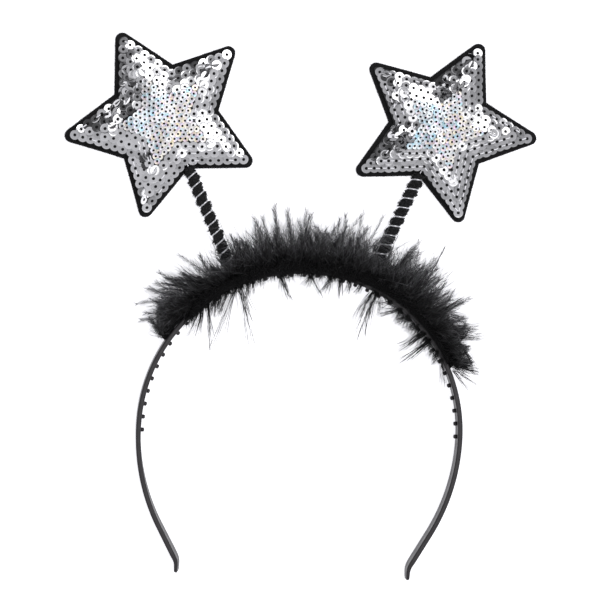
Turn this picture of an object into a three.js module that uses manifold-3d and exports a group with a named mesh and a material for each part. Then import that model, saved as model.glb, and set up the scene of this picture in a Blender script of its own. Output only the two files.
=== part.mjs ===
// Star headband, lying on its back as it rests on a table.
// A comb band carries a feather trim on its crown and two padded stars on coil springs.
// Millimetres. +X is right seen from the front, +Y runs from the feet to the stars, +Z is the front.

import * as THREE from "three";
import { mergeVertices } from "three/addons/utils/BufferGeometryUtils.js";
import Module from "manifold-3d";

const { degToRad, lerp, smoothstep } = THREE.MathUtils;

// Gap that keeps touching pieces apart.
const GAP = 0.3;

// Band: a half circle over the crown, a wider arc down each cheek, a straight run and a short foot.
// The left leg is twisted: it leans outwards at the front, more and more over its run.
const BAND = {
  outerRadius: 65.2,
  thickness: 2,
  width: 8,
  edgeRound: 0.6,
  cheekRadius: 80.7,
  cheekSweep: degToRad(29.5),
  legRun: 14,
  footBendRadius: 6,
  footRun: 3.4,
  footThickness: 1.4,
  footWidth: 6.2,
  footTaper: 9,
  footTipScale: 0.55,
  footTipRun: 0.7,
  leftLean: 0.15,
  leftLeanRun: 64,
};
const BAND_STEPS = { crown: 20, cheek: 5, leg: 2, footBend: 3, foot: 2, edge: 2 };

// Comb teeth: domed pegs on the inside of the crown, in a row whose middle is a little off the apex.
const TOOTH = {
  count: 39,
  pitch: degToRad(4.76),
  middle: degToRad(-0.9),
  radius: 0.85,
  shoulderRadius: 0.5,
  height: 1.35,
  shoulderHeight: 1.25,
  wallHeight: 0.85,
  root: 0.5,
  sides: 6,
};

// Stars: felt backing, and padding that rises from a rim to a flat middle.
const STAR = { arms: 5, tipRound: 2.8, border: 1.8, feltThickness: 1.5, tipSteps: 4, sideParts: 3 };
const PAD = { rim: 1.2, rise: 5, reach: 13, rings: [1, 0.88, 0.74, 0.56, 0.3] };

// Stems: a wire coil round a chenille core, from the outside of the crown to a notch of the star.
const STEM = {
  rootHeight: 4,
  notchHeight: 2.7,
  notchClearance: 1.6,
  pitch: 4.1,
  coilRadius: 2.05,
  wireRadius: 0.32,
  wireSides: 5,
  wireStepsPerTurn: 8,
  wireMeasures: 4000,
  tailRun: 11,
  pileMean: 1.75,
  pileSwell: 0.55,
  pileSides: 8,
  pileStepsPerTurn: 4,
};
// Slot under the padding for the tail of the wire.
const TAIL_SLOT = { width: 2.2, overrun: 2, top: 3.5 };

// One row for each star with its stem. Leans are turned from +Y towards +X. Pulls are the small steps
// by which the sewn tips lie off a regular star, counter-clockwise from the tip opposite the stem.
const STARS = [
  {
    side: "left",
    rootAngle: degToRad(-25.3),
    stemLean: degToRad(-25.36),
    stemLength: 48.47,
    starLean: degToRad(-29.5),
    tipRadius: 39,
    notchRadius: 21.9,
    pulls: [[-0.5, -1], [-1, -0.6], [-1.7, 0.6], [0.2, 0], [0.1, 0.6]],
  },
  {
    side: "right",
    rootAngle: degToRad(21.7),
    stemLean: degToRad(23.46),
    stemLength: 47.54,
    starLean: degToRad(22),
    tipRadius: 37.7,
    notchRadius: 20.9,
    pulls: [[1, -0.6], [0.1, -0.5], [-0.8, 0.2], [0.7, -0.4], [1.2, 0.6]],
  },
];

// Feather trim: a round backing along the crown with rows of locks fused to it.
const TRIM = {
  from: degToRad(-57.5),
  to: degToRad(63.5),
  stations: 19,
  backingWidth: 9.6,
  backingHeight: 11.2,
  backingSides: 8,
  endScale: 0.75,
  endShare: 0.07,
  stemClearance: 0.35,
  stemHoleSides: 10,
};
// Shape of a lock: where it starts and is widest, as shares of its reach, and how far it varies.
const LOCK = {
  root: 0.18,
  rootWidth: 0.6,
  waist: 0.58,
  vary: 0.14,
  sweep: 3.4,
  stationPhase: 9.6,
  rowPhase: 4.1,
};
// One row for each lock of a fan. Rise is turned from straight out of the crown towards the front,
// and stagger is the lock's place within the fan's share of the crown.
const LOCKS = [
  { rise: -15, stagger: 0.25, reach: 13.6, width: 8.6, thickness: 4.2 },
  { rise: 18, stagger: 0.75, reach: 14.6, width: 8.4, thickness: 4.4 },
  { rise: 54, stagger: 0.25, reach: 14.2, width: 8.2, thickness: 4.4 },
  { rise: 98, stagger: 0.75, reach: 12.2, width: 7.6, thickness: 4.2 },
];

const MATERIALS = {
  plastic: { color: 0x141414, roughness: 0.35, metalness: 0 },
  feather: { color: 0x0d0d0e, roughness: 0.9, metalness: 0 },
  wire: { color: 0xc8cacc, roughness: 0.25, metalness: 1 },
  pile: { color: 0x0b0b0c, roughness: 0.85, metalness: 0 },
  felt: { color: 0x111113, roughness: 0.95, metalness: 0 },
  sequin: { color: 0xb9bbbf, roughness: 0.25, metalness: 0.9 },
};

const wasm = await Module();
wasm.setup();

function mesh(name, geometry, finish) {
  const made = new THREE.Mesh(geometry, new THREE.MeshStandardMaterial(MATERIALS[finish]));
  made.name = name;
  return made;
}

// A closed geometry as a solid that can be joined or cut.
function solidOf(geometry) {
  const bare = new THREE.BufferGeometry();
  bare.setAttribute("position", geometry.getAttribute("position"));
  bare.setIndex(geometry.index);
  const merged = mergeVertices(bare);
  const corners = merged.index.array;
  const triVerts = [];
  for (let i = 0; i < corners.length; i += 3) {
    const [a, b, c] = corners.slice(i, i + 3);
    if (a !== b && b !== c && c !== a) triVerts.push(a, b, c);
  }
  return new wasm.Manifold(
    new wasm.Mesh({
      numProp: 3,
      vertProperties: merged.getAttribute("position").array,
      triVerts: new Uint32Array(triVerts),
    }),
  );
}

function geometryOf(solid) {
  const { vertProperties, triVerts } = solid.getMesh();
  const made = new THREE.BufferGeometry();
  made.setAttribute("position", new THREE.BufferAttribute(vertProperties, 3));
  made.setIndex(new THREE.BufferAttribute(triVerts, 1));
  return made;
}

// Closed skin through rings with equal point counts, each end closed by a fan to its own point.
// Rings run counter-clockwise seen against the direction from the first ring to the last.
function loft(rings, startPoint, endPoint) {
  const count = rings[0].length;
  const last = (rings.length - 1) * count;
  const points = [...rings.flat(), startPoint, endPoint];
  const start = points.length - 2;
  const end = points.length - 1;
  const index = [];
  for (let i = 0; i < count; i++) {
    const next = (i + 1) % count;
    index.push(start, next, i, end, last + i, last + next);
    for (let ring = 0; ring < last; ring += count) {
      index.push(ring + i, ring + next, ring + count + next);
      index.push(ring + i, ring + count + next, ring + count + i);
    }
  }
  return new THREE.BufferGeometry().setFromPoints(points).setIndex(index);
}

function middle(ring) {
  return ring.reduce((sum, point) => sum.add(point), new THREE.Vector3()).divideScalar(ring.length);
}

function polar(radius, angle) {
  return new THREE.Vector2(radius * Math.cos(angle), radius * Math.sin(angle));
}

// Direction in the table plane, turned from +Y towards +X.
function heading(lean) {
  return new THREE.Vector3(Math.sin(lean), Math.cos(lean), 0);
}

// Half of the band's outer edge from the apex to a foot, curve by curve.
function bandHalf() {
  const { outerRadius, cheekRadius, cheekSweep, legRun, footBendRadius, footRun } = BAND;
  const crown = new THREE.EllipseCurve(0, 0, outerRadius, outerRadius, Math.PI / 2, 0, true);
  const cheek = new THREE.EllipseCurve(
    outerRadius - cheekRadius, 0, cheekRadius, cheekRadius, 0, -cheekSweep, true,
  );
  const knee = cheek.getPoint(1);
  const ankle = knee.clone().sub(polar(legRun, Math.PI / 2 - cheekSweep));
  const bendCentre = polar(footBendRadius, -cheekSweep).add(ankle);
  const footBend = new THREE.EllipseCurve(
    bendCentre.x, bendCentre.y, footBendRadius, footBendRadius, Math.PI - cheekSweep, Math.PI, false,
  );
  const heel = footBend.getPoint(1);
  const toe = new THREE.Vector2(heel.x, heel.y - footRun);
  return [
    { curve: crown, steps: BAND_STEPS.crown },
    { curve: cheek, steps: BAND_STEPS.cheek },
    { curve: new THREE.LineCurve(knee, ankle), steps: BAND_STEPS.leg },
    { curve: footBend, steps: BAND_STEPS.footBend },
    { curve: new THREE.LineCurve(heel, toe), steps: BAND_STEPS.foot },
  ];
}

// Stations along half of the band: a point of the outer edge, its outward direction
// and the way that is left to the toe.
function bandStations() {
  const half = bandHalf();
  let left = half.reduce((sum, { curve }) => sum + curve.getLength(), 0);
  const stations = [];
  for (const { curve, steps } of half) {
    const length = curve.getLength();
    for (let k = stations.length ? 1 : 0; k <= steps; k++) {
      const share = k / steps;
      const tangent = curve.getTangent(share);
      const outward = new THREE.Vector2(-tangent.y, tangent.x);
      stations.push({ point: curve.getPoint(share), outward, left: left - share * length });
    }
    left -= length;
  }
  return stations;
}

// Rounded rectangle of the band at a station: depth runs inwards from the outer edge, z along the width.
function bandSection(station, side) {
  const slim = 1 - smoothstep(station.left, 0, BAND.footTaper);
  const tip = station.left < BAND.footTipRun ? BAND.footTipScale : 1;
  const thickness = lerp(BAND.thickness, BAND.footThickness, slim) * tip;
  const width = lerp(BAND.width, BAND.footWidth, slim) * tip;
  const round = BAND.edgeRound * tip;
  const lean = side < 0 ? BAND.leftLean * Math.max(0, 1 - station.left / BAND.leftLeanRun) : 0;
  const ring = [];
  for (let corner = 0; corner < 4; corner++) {
    const along = corner === 0 || corner === 3 ? 1 : -1;
    const up = corner < 2 ? 1 : -1;
    for (let k = 0; k <= BAND_STEPS.edge; k++) {
      const turn = (corner + k / BAND_STEPS.edge) * (Math.PI / 2);
      const depth = along * (thickness / 2 - round) + round * Math.cos(turn) - BAND.thickness / 2;
      const z = up * (width / 2 - round) + round * Math.sin(turn) + BAND.width / 2;
      const spot = station.outward.clone().multiplyScalar(depth + lean * z).add(station.point);
      ring.push(new THREE.Vector3(side * spot.x, spot.y, z));
    }
  }
  return ring;
}

function tooth(angle) {
  const profile = [
    new THREE.Vector2(0, -TOOTH.root),
    new THREE.Vector2(TOOTH.radius, -TOOTH.root),
    new THREE.Vector2(TOOTH.radius, TOOTH.wallHeight),
    new THREE.Vector2(TOOTH.shoulderRadius, TOOTH.shoulderHeight),
    new THREE.Vector2(0, TOOTH.height),
  ];
  const inner = heading(angle).multiplyScalar(BAND.outerRadius - BAND.thickness);
  return new THREE.LatheGeometry(profile, TOOTH.sides)
    .rotateZ(Math.PI - angle)
    .translate(inner.x, inner.y, BAND.width / 2);
}

// The moulding: left foot to right foot in one sweep, with the comb teeth fused to it.
function headbandGeometry() {
  const half = bandStations();
  const rings = [];
  for (const station of half.slice(1).reverse()) rings.push(bandSection(station, -1));
  for (const station of half) rings.push(bandSection(station, 1));
  let solid = solidOf(loft(rings, middle(rings[0]), middle(rings.at(-1))));
  for (let i = 0; i < TOOTH.count; i++) {
    const angle = TOOTH.middle + (i - (TOOTH.count - 1) / 2) * TOOTH.pitch;
    solid = solid.add(solidOf(tooth(angle)));
  }
  return geometryOf(solid);
}

function armAxis(arm) {
  return Math.PI / 2 + (2 * Math.PI * arm) / STAR.arms;
}

// A point of a star's plane moved by the pulls of the two arms beside it, the more the further out it lies.
function pulled(star, point) {
  const between = (2 * Math.PI) / STAR.arms;
  const reach = point.length() / star.tipRadius;
  const moved = point.clone();
  star.pulls.forEach(([x, y], arm) => {
    const turn = point.angle() - armAxis(arm);
    const away = Math.abs(Math.atan2(Math.sin(turn), Math.cos(turn)));
    const share = Math.cos((Math.PI / 2) * Math.min(away / between, 1)) ** 2;
    moved.addScaledVector(new THREE.Vector2(x, y), share * reach * reach);
  });
  return moved;
}

// Outline of a regular star with rounded tips, counter-clockwise from a notch, moved inwards by inset.
function starOutline({ tipRadius, notchRadius }, inset) {
  const half = Math.PI / STAR.arms;
  const tipCentre = tipRadius - STAR.tipRound;
  const along = tipCentre - notchRadius * Math.cos(half);
  const across = notchRadius * Math.sin(half);
  const slope = Math.atan2(across, along) - Math.asin(STAR.tipRound / Math.hypot(along, across));
  const notch = notchRadius - inset / Math.sin(slope + half);
  const points = [];
  for (let arm = 0; arm < STAR.arms; arm++) {
    const axis = armAxis(arm);
    const before = polar(notch, axis - half);
    const after = polar(notch, axis + half);
    const arc = [];
    for (let k = 0; k <= STAR.tipSteps; k++) {
      const turn = (Math.PI / 2 - slope) * ((2 * k) / STAR.tipSteps - 1);
      arc.push(polar(STAR.tipRound - inset, axis + turn).add(polar(tipCentre, axis)));
    }
    for (let k = 0; k < STAR.sideParts; k++) {
      points.push(before.clone().lerp(arc[0], k / STAR.sideParts));
    }
    points.push(...arc);
    for (let k = 1; k < STAR.sideParts; k++) {
      points.push(arc.at(-1).clone().lerp(after, k / STAR.sideParts));
    }
  }
  return points;
}

function backingGeometry(star) {
  const shape = new THREE.Shape(starOutline(star, 0).map((point) => pulled(star, point)));
  return new THREE.ExtrudeGeometry(shape, { depth: STAR.feltThickness, bevelEnabled: false });
}

function distanceToOutline(point, outline) {
  const spot = new THREE.Vector3(point.x, point.y, 0);
  const nearest = new THREE.Vector3();
  return Math.min(
    ...outline.map((from, i) => {
      const to = outline[(i + 1) % outline.length];
      const start = new THREE.Vector3(from.x, from.y, 0);
      const edge = new THREE.Line3(start, new THREE.Vector3(to.x, to.y, 0));
      return edge.closestPointToPoint(spot, true, nearest).distanceTo(spot);
    }),
  );
}

// Padding: shrunken copies of its outline, each lifted along a parabola by its distance to the edge.
function padGeometry(star) {
  const outline = starOutline(star, STAR.border);
  const base = STAR.feltThickness + GAP;
  const placed = (point, z) => {
    const { x, y } = pulled(star, point);
    return new THREE.Vector3(x, y, z);
  };
  const lifted = (point) => {
    const inwards = 1 - Math.min(distanceToOutline(point, outline) / PAD.reach, 1);
    const rise = PAD.rise * (1 - inwards * inwards);
    return placed(point, base + PAD.rim + rise);
  };
  const foot = outline.map((point) => placed(point, base));
  const ringAt = (share) => outline.map((point) => lifted(point.clone().multiplyScalar(share)));
  const rings = PAD.rings.map(ringAt);
  const top = lifted(new THREE.Vector2());
  const pad = solidOf(loft([foot, ...rings], new THREE.Vector3(0, 0, base), top));
  const slotLength = STEM.tailRun + 2 * TAIL_SLOT.overrun;
  const slot = new THREE.BoxGeometry(TAIL_SLOT.width, slotLength, 2 * (TAIL_SLOT.top - base)).translate(
    0,
    slotLength / 2 - TAIL_SLOT.overrun - star.notchRadius,
    base,
  );
  return geometryOf(pad.subtract(solidOf(slot)));
}

// Wire along +Y: an open coil, a short cone to the axis and a straight tail.
class SpringCurve extends THREE.Curve {
  constructor(coilRun) {
    super();
    this.coilRun = coilRun;
    this.coneRun = STEM.notchClearance;
    this.arcLengthDivisions = STEM.wireMeasures;
  }

  getPoint(share, target = new THREE.Vector3()) {
    const run = share * (this.coilRun + this.coneRun + STEM.tailRun);
    const turn = (2 * Math.PI * Math.min(run, this.coilRun + this.coneRun)) / STEM.pitch;
    const radius = STEM.coilRadius * (1 - smoothstep(run, this.coilRun, this.coilRun + this.coneRun));
    const start = GAP + STEM.wireRadius;
    return target.set(radius * Math.sin(turn), start + run, radius * Math.cos(turn));
  }
}

function coilRun(star) {
  return star.stemLength - STEM.notchClearance - GAP - STEM.wireRadius;
}

function wireGeometry(star) {
  const section = [];
  for (let k = 0; k < STEM.wireSides; k++) {
    section.push(polar(STEM.wireRadius, (2 * Math.PI * k) / STEM.wireSides));
  }
  const curve = new SpringCurve(coilRun(star));
  const steps = Math.round((coilRun(star) / STEM.pitch + 2) * STEM.wireStepsPerTurn);
  const shape = new THREE.Shape(section);
  return new THREE.ExtrudeGeometry(shape, { steps, extrudePath: curve, bevelEnabled: false });
}

// Chenille along +Y: its radius swells between the turns of the wire and shrinks beneath them.
function pileGeometry(star) {
  const length = coilRun(star);
  const count = Math.round((length / STEM.pitch) * STEM.pileStepsPerTurn);
  const rings = [];
  for (let i = 0; i <= count; i++) {
    const run = (i / count) * length;
    const wireTurn = (2 * Math.PI * (run - STEM.wireRadius)) / STEM.pitch;
    const ring = [];
    for (let k = 0; k < STEM.pileSides; k++) {
      const turn = (2 * Math.PI * k) / STEM.pileSides;
      const radius = STEM.pileMean - STEM.pileSwell * Math.cos(turn - wireTurn);
      ring.push(new THREE.Vector3(radius * Math.sin(turn), GAP + run, radius * Math.cos(turn)));
    }
    rings.push(ring);
  }
  return loft(rings, new THREE.Vector3(0, GAP, 0), new THREE.Vector3(0, GAP + length, 0));
}

// Frame of a stem: its root on the outside of the crown, and its direction down to the notch.
function stemFrame(star) {
  const root = heading(star.rootAngle).multiplyScalar(BAND.outerRadius);
  root.z = STEM.rootHeight;
  const notch = heading(star.stemLean).multiplyScalar(star.stemLength).add(root);
  notch.z = STEM.notchHeight;
  const direction = notch.clone().sub(root).normalize();
  return { root, notch, direction };
}

function stemGroup(star) {
  const { root, direction } = stemFrame(star);
  const group = new THREE.Group();
  group.position.copy(root);
  group.quaternion.setFromUnitVectors(new THREE.Vector3(0, 1, 0), direction);
  group.add(mesh(`${star.side}_spring_wire`, wireGeometry(star), "wire"));
  group.add(mesh(`${star.side}_spring_pile`, pileGeometry(star), "pile"));
  return group;
}

// A star stands with a notch on the end of its stem.
function starGroup(star) {
  const centre = heading(star.starLean).multiplyScalar(star.notchRadius).add(stemFrame(star).notch);
  const group = new THREE.Group();
  group.position.set(centre.x, centre.y, 0);
  group.rotation.z = -star.starLean;
  group.add(mesh(`${star.side}_star_backing`, backingGeometry(star), "felt"));
  group.add(mesh(`${star.side}_star_pad`, padGeometry(star), "sequin"));
  return group;
}

// A point beside the crown: angle from the apex, distance out from the band and height above the table.
function besideCrown(angle, out, z) {
  const point = heading(angle).multiplyScalar(BAND.outerRadius + out);
  point.z = z;
  return point;
}

// Size of the trim at a share of its way along the crown: full, but smaller at both ends.
function trimSize(share) {
  return lerp(TRIM.endScale, 1, smoothstep(Math.min(share, 1 - share), 0, TRIM.endShare));
}

// Backing of the trim: an ellipse carried along the crown.
function trimBacking() {
  const rings = [];
  for (let i = 0; i <= TRIM.stations; i++) {
    const share = i / TRIM.stations;
    const size = trimSize(share);
    const ring = [];
    for (let k = 0; k < TRIM.backingSides; k++) {
      const turn = (2 * Math.PI * (k + 0.5)) / TRIM.backingSides;
      const out = GAP + (TRIM.backingWidth / 2) * size * (1 + Math.cos(turn));
      const z = GAP + (TRIM.backingHeight / 2) * size * (1 + Math.sin(turn));
      ring.push(besideCrown(lerp(TRIM.from, TRIM.to, share), out, z));
    }
    rings.push(ring);
  }
  return loft(rings, middle(rings[0]), middle(rings.at(-1)));
}

// One lock: a four-sided leaf from the heart of the backing to a point, swept along the crown.
function lock(share, row, vary) {
  const angle = lerp(TRIM.from, TRIM.to, share);
  const size = trimSize(share);
  const rise = degToRad(row.rise);
  const along = heading(angle + Math.PI / 2);
  const out = heading(angle).multiplyScalar(Math.cos(rise));
  out.z = Math.sin(rise);
  const across = out.clone().cross(along);
  const heartOut = GAP + (TRIM.backingWidth / 2) * size;
  const heart = besideCrown(angle, heartOut, GAP + (TRIM.backingHeight / 2) * size);
  const reach = row.reach * size * (1 + LOCK.vary * vary);
  const spine = (way) =>
    heart
      .clone()
      .addScaledVector(out, way * reach)
      .addScaledVector(along, way * way * LOCK.sweep * vary);
  const ringAt = (way, wide) =>
    [0, 1, 2, 3].map((k) => {
      const turn = (k * Math.PI) / 2;
      return spine(way)
        .addScaledVector(along, (wide * size * row.width * Math.cos(turn)) / 2)
        .addScaledVector(across, (wide * size * row.thickness * Math.sin(turn)) / 2);
    });
  const root = ringAt(LOCK.root, LOCK.rootWidth);
  return loft([root, ringAt(LOCK.waist, 1)], middle(root), spine(1));
}

// The trim: fans of locks along the backing, with a hole round each stem.
function trimGeometry() {
  let solid = solidOf(trimBacking());
  for (let i = 0; i < TRIM.stations; i++) {
    LOCKS.forEach((row, k) => {
      const vary = Math.sin(LOCK.stationPhase * i + LOCK.rowPhase * k);
      solid = solid.add(solidOf(lock((i + row.stagger) / TRIM.stations, row, vary)));
    });
  }
  for (const star of STARS) {
    const { root, direction } = stemFrame(star);
    const radius = STEM.coilRadius + STEM.wireRadius + TRIM.stemClearance;
    const hole = new THREE.CylinderGeometry(radius, radius, star.stemLength, TRIM.stemHoleSides)
      .translate(0, star.stemLength / 2 - STEM.pitch, 0)
      .applyQuaternion(new THREE.Quaternion().setFromUnitVectors(new THREE.Vector3(0, 1, 0), direction))
      .translate(root.x, root.y, root.z);
    solid = solid.subtract(solidOf(hole));
  }
  const largest = solid.decompose().reduce((a, b) => (a.volume() > b.volume() ? a : b));
  return geometryOf(largest);
}

// Whole object, moved so that the middle of its box is over the origin.
function headband() {
  const group = new THREE.Group();
  group.add(mesh("headband", headbandGeometry(), "plastic"));
  group.add(mesh("feather_trim", trimGeometry(), "feather"));
  for (const star of STARS) group.add(stemGroup(star), starGroup(star));
  const centre = new THREE.Box3().setFromObject(group, true).getCenter(new THREE.Vector3());
  group.position.set(-centre.x, -centre.y, 0);
  return group;
}

export default headband();
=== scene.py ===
# Star headband lying on its back: a comb band with a marabou trim, and two padded sequin stars
# on chenille coil stems. Shapes are worked out as whole arrays in millimetres.
from types import SimpleNamespace as Sizes

import bpy
import numpy as np
from mathutils import Matrix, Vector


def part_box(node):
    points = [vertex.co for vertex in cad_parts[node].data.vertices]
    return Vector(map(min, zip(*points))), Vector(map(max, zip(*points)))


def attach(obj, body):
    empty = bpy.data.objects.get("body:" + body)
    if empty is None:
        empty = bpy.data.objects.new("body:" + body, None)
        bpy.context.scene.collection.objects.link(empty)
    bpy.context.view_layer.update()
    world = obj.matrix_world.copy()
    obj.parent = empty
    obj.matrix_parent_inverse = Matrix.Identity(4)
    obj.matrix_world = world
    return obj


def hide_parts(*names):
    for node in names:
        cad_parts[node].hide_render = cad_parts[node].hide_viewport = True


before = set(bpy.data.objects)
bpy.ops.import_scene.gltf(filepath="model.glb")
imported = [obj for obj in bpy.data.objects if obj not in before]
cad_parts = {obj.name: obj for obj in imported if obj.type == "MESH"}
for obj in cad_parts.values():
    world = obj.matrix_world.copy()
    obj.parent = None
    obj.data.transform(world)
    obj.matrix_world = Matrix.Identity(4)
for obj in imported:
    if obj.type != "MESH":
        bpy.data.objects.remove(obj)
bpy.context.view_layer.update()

MM = 0.001
TURN = 2 * np.pi
ACROSS = np.array([1.0, 0.0, 0.0])
UP = np.array([0.0, 0.0, 1.0])
# Hairs whose direction rises by more than this have their first corner across, others have it up.
STEEPEST = 0.8

# Band: a half circle over the crown, a wider arc down each cheek, a straight run and a short foot.
# The left leg is twisted: it leans outwards at the front, more and more over its run. The inner face
# is slightly hollow.
BAND = Sizes(
    outer_radius=65.2,
    thickness=2.0,
    width=8.0,
    hollow=0.2,
    face_steps=6,
    edge_round=0.6,
    edge_flat=0.05,
    edge_steps=5,
    cheek_radius=80.7,
    cheek_sweep=np.radians(29.5),
    leg_run=14.0,
    foot_bend_radius=6.0,
    foot_run=3.4,
    foot_thickness=1.4,
    foot_width=6.2,
    foot_taper=9.0,
    tip_run=1.3,
    tip_least=0.06,
    left_lean=0.15,
    left_lean_run=64.0,
    stations=240,
)
# Comb teeth: domed pegs on the inside of the crown, in a row whose middle is a little off the apex.
TOOTH = Sizes(
    count=39,
    pitch=np.radians(4.76),
    middle=np.radians(-0.9),
    radius=0.85,
    root=0.5,
    wall=0.85,
    height=1.35,
    dome=0.97,
    rows=6,
    sides=14,
)
# Stars: felt backing, whose faces are closed over a smaller copy of its outline, and padding that rises
# from a rim to a flat middle and sways a little away from its edge. Drop is the way from the sequins'
# seat down to the padding. Fuzz is loose fibres at the felt's edge.
STAR = Sizes(
    arms=5,
    tip_round=2.8,
    side_parts=16,
    tip_steps=12,
    border=1.8,
    felt=1.5,
    felt_round=0.45,
    felt_steps=7,
    inner_copy=0.3,
)
PAD = Sizes(
    base=1.8,
    rim=1.2,
    rise=5.0,
    reach=13.0,
    drop=1.0,
    least=0.2,
    blur=1.4,
    blur_points=8,
    sway=0.3,
    sway_length=11.0,
    sway_edge=4.0,
    rows=26,
    crowding=1.5,
    covered=0.98,
)
FUZZ = Sizes(
    count=1500,
    inset=0.1,
    outwards=(0.15, 0.6),
    along=0.5,
    lowest=0.2,
    rise=0.25,
    lowest_tip=0.05,
    bend=0.15,
    radii=(0.02, 0.035),
    off_table=0.03,
)
# Stems: a wire coil round a chenille core, from the outside of the crown to a notch of the star. From
# a little behind the root, hairs of the trim keep the clearance from the stem's axis. Over the parting
# run they draw aside.
STEM = Sizes(
    root_height=4.0,
    notch_height=2.7,
    notch_clearance=1.6,
    gap=0.3,
    pitch=4.1,
    coil_radius=2.05,
    wire_radius=0.32,
    wire_steps=40,
    wire_sides=10,
    tail_run=11.0,
    clearance=2.7,
    behind_root=1.0,
    parting=2.5,
)
# Chenille: least radius, beneath the wire, and swell between its turns, lumps of two lengths, and ends
# that are rounded off. Its fibres lean in tufts and are shorter near the wire.
PILE = Sizes(
    valley=1.35,
    swell=1.0,
    swell_power=0.6,
    lump=0.21,
    coarse=3.6,
    coarse_share=0.6,
    fine=1.0,
    overlap=1.0,
    end=0.9,
    rings_each_turn=24,
    sides=36,
    off_table=0.05,
)
FIBRE = Sizes(
    count=4700,
    margin=0.2,
    root=0.25,
    tuft=1.1,
    tuft_lean=0.6,
    lean=0.25,
    lengths=(0.45, 1.2),
    patch=1.6,
    uneven=0.45,
    by_wire=0.3,
    wire_reach=(0.2, 0.65),
    bend=0.2,
    radii=(0.06, 0.1),
)
# One row for each star with its stem. Leans are turned from +Y towards +X. Pulls are the small steps
# by which the sewn tips lie off a regular star, counter-clockwise from the tip opposite the stem.
# From the bare run on, a stem stands clear of the trim. Thread shown is the share of stitches that
# show where the padding faces the feet of the band. Closeness and seam change the spacing and the
# inset of the silver rows. Silver is the range of their shades, film the shade of the rainbow sequins
# and a shift along its colours; both shades are set lower on the right star as painted shade.
STARS = [
    Sizes(
        side="left",
        root_angle=np.radians(-25.3),
        stem_lean=np.radians(-25.36),
        stem_length=48.47,
        star_lean=np.radians(-29.5),
        tip_radius=39.0,
        notch_radius=21.9,
        pulls=np.array([(-0.5, -1.0), (-1.0, -0.6), (-1.7, 0.6), (0.2, 0.0), (0.1, 0.6)]),
        seed=11,
        bare=8.0,
        thread_shown=0.2,
        closeness=1.0,
        seam=0.1,
        silver=(0.56, 0.82),
        film=(0.93, 0.0),
    ),
    Sizes(
        side="right",
        root_angle=np.radians(21.7),
        stem_lean=np.radians(23.46),
        stem_length=47.54,
        star_lean=np.radians(22.0),
        tip_radius=37.7,
        notch_radius=20.9,
        pulls=np.array([(1.0, -0.6), (0.1, -0.5), (-0.8, 0.2), (0.7, -0.4), (1.2, 0.6)]),
        seed=23,
        bare=9.6,
        thread_shown=0.9,
        closeness=0.92,
        seam=0.5,
        # Lower silver range and film shade than the left star: painted shade on this star.
        silver=(0.46, 0.67),
        film=(0.8, -0.6),
    ),
]
# Sequins: insets of their rows from the felt's edge, spacing along a row, and the disc itself. Loose
# insets are rows between them, which are sewn only where the sequins are ruffled. Own is 1 for rows that
# get ruffled and follow the star's own closeness and seam.
SILVER = Sizes(
    name="silver",
    insets=(3.25, 6.0, 8.75),
    spacing=3.1,
    radius=1.95,
    hole=0.62,
    thickness=0.12,
    cup=0.035,
    lap=0.05,
    lift=0.34,
    rosette=(20.3,),
    own=1.0,
    loose=(4.6, 7.4, 10.0),
)
RAINBOW = Sizes(
    name="rainbow",
    insets=(11.8, 13.55, 15.3, 17.05),
    spacing=2.05,
    radius=1.27,
    hole=0.47,
    thickness=0.1,
    cup=0.05,
    lap=0.05,
    lift=0.36,
    rosette=(0.0, 1.85),
    own=0.0,
    loose=(),
)
# A disc lies flatter than the padding, and tilts and scatters by chance. Tip push is how far the tips
# of a row are pushed out for each millimetre of seam. Sequins are ruffled in patches that face the
# given way. Where they are loose enough, the rows between are sewn too.
DISC = Sizes(sides=16, flat_share=0.78, lie=0.6, tilt=0.03, scatter=0.13, lift_spread=0.15, tip_push=1.8)
RUFFLE = Sizes(
    tilt=0.42,
    patch=14.0,
    patch_share=0.7,
    way=(-0.75, 0.66),
    way_share=2.6,
    start=0.55,
    full=1.5,
    loose=0.25,
)
# Plugs in the holes, with levels as shares of the disc's thickness, and stitches along the rows.
HOLE = Sizes(sides=8, wider=1.05, levels=(-0.6, 0.25))
STITCH = Sizes(facing_feet=-0.06, elsewhere=0.1, lift=0.2, bow=0.12, steps=6, radius=0.2, sides=6)
# Silver film is a cool white.
COOL_WHITE = np.array([1.0, 1.0, 1.015])
# Rainbow film: its colours (sky, cyan, lilac, pink and yellow), and steps along them: across the star,
# from patch to patch, from disc to disc and round a disc. Strengths mix the colour with white.
FILM_TINTS = np.array(
    [(0.34, 0.75, 1.0), (0.45, 0.95, 1.0), (0.66, 0.6, 1.0), (1.0, 0.62, 0.82), (1.0, 0.82, 0.38)]
)
FILM = Sizes(
    first=1.2,
    way=(1.0, -0.5),
    half_width=10,
    across=2.2,
    patch=5.0,
    patch_step=1.1,
    jump=0.8,
    swing=1.5,
    pale_patch=6.0,
    pale_range=(-1.1, 0.4),
    pale=0.25,
    strengths=(0.1, 0.9),
    flicker=0.25,
    shades=(0.86, 1.0),
)
# Trim: stretch of the crown that carries it, where its feathers are rooted, how far it stands out to
# the front, and how feathers that rise to the front droop. Their tips count as lying less far out, so
# they get less painted light; the front shade is what is left of it for a feather that rises straight
# to the front. The least cosine limits how much a feather that is turned along the crown is
# lengthened.
TRIM = Sizes(
    start=np.radians(-58.5),
    end=np.radians(65.0),
    root_height=4.6,
    root_rise=(-2, 3),
    root_out=(0.4, 2.2),
    front_reach=12.0,
    least_cosine=0.7,
    droop_out=0.3,
    droop_back=0.28,
    front_shade=0.3,
    off_table=0.15,
)
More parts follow.
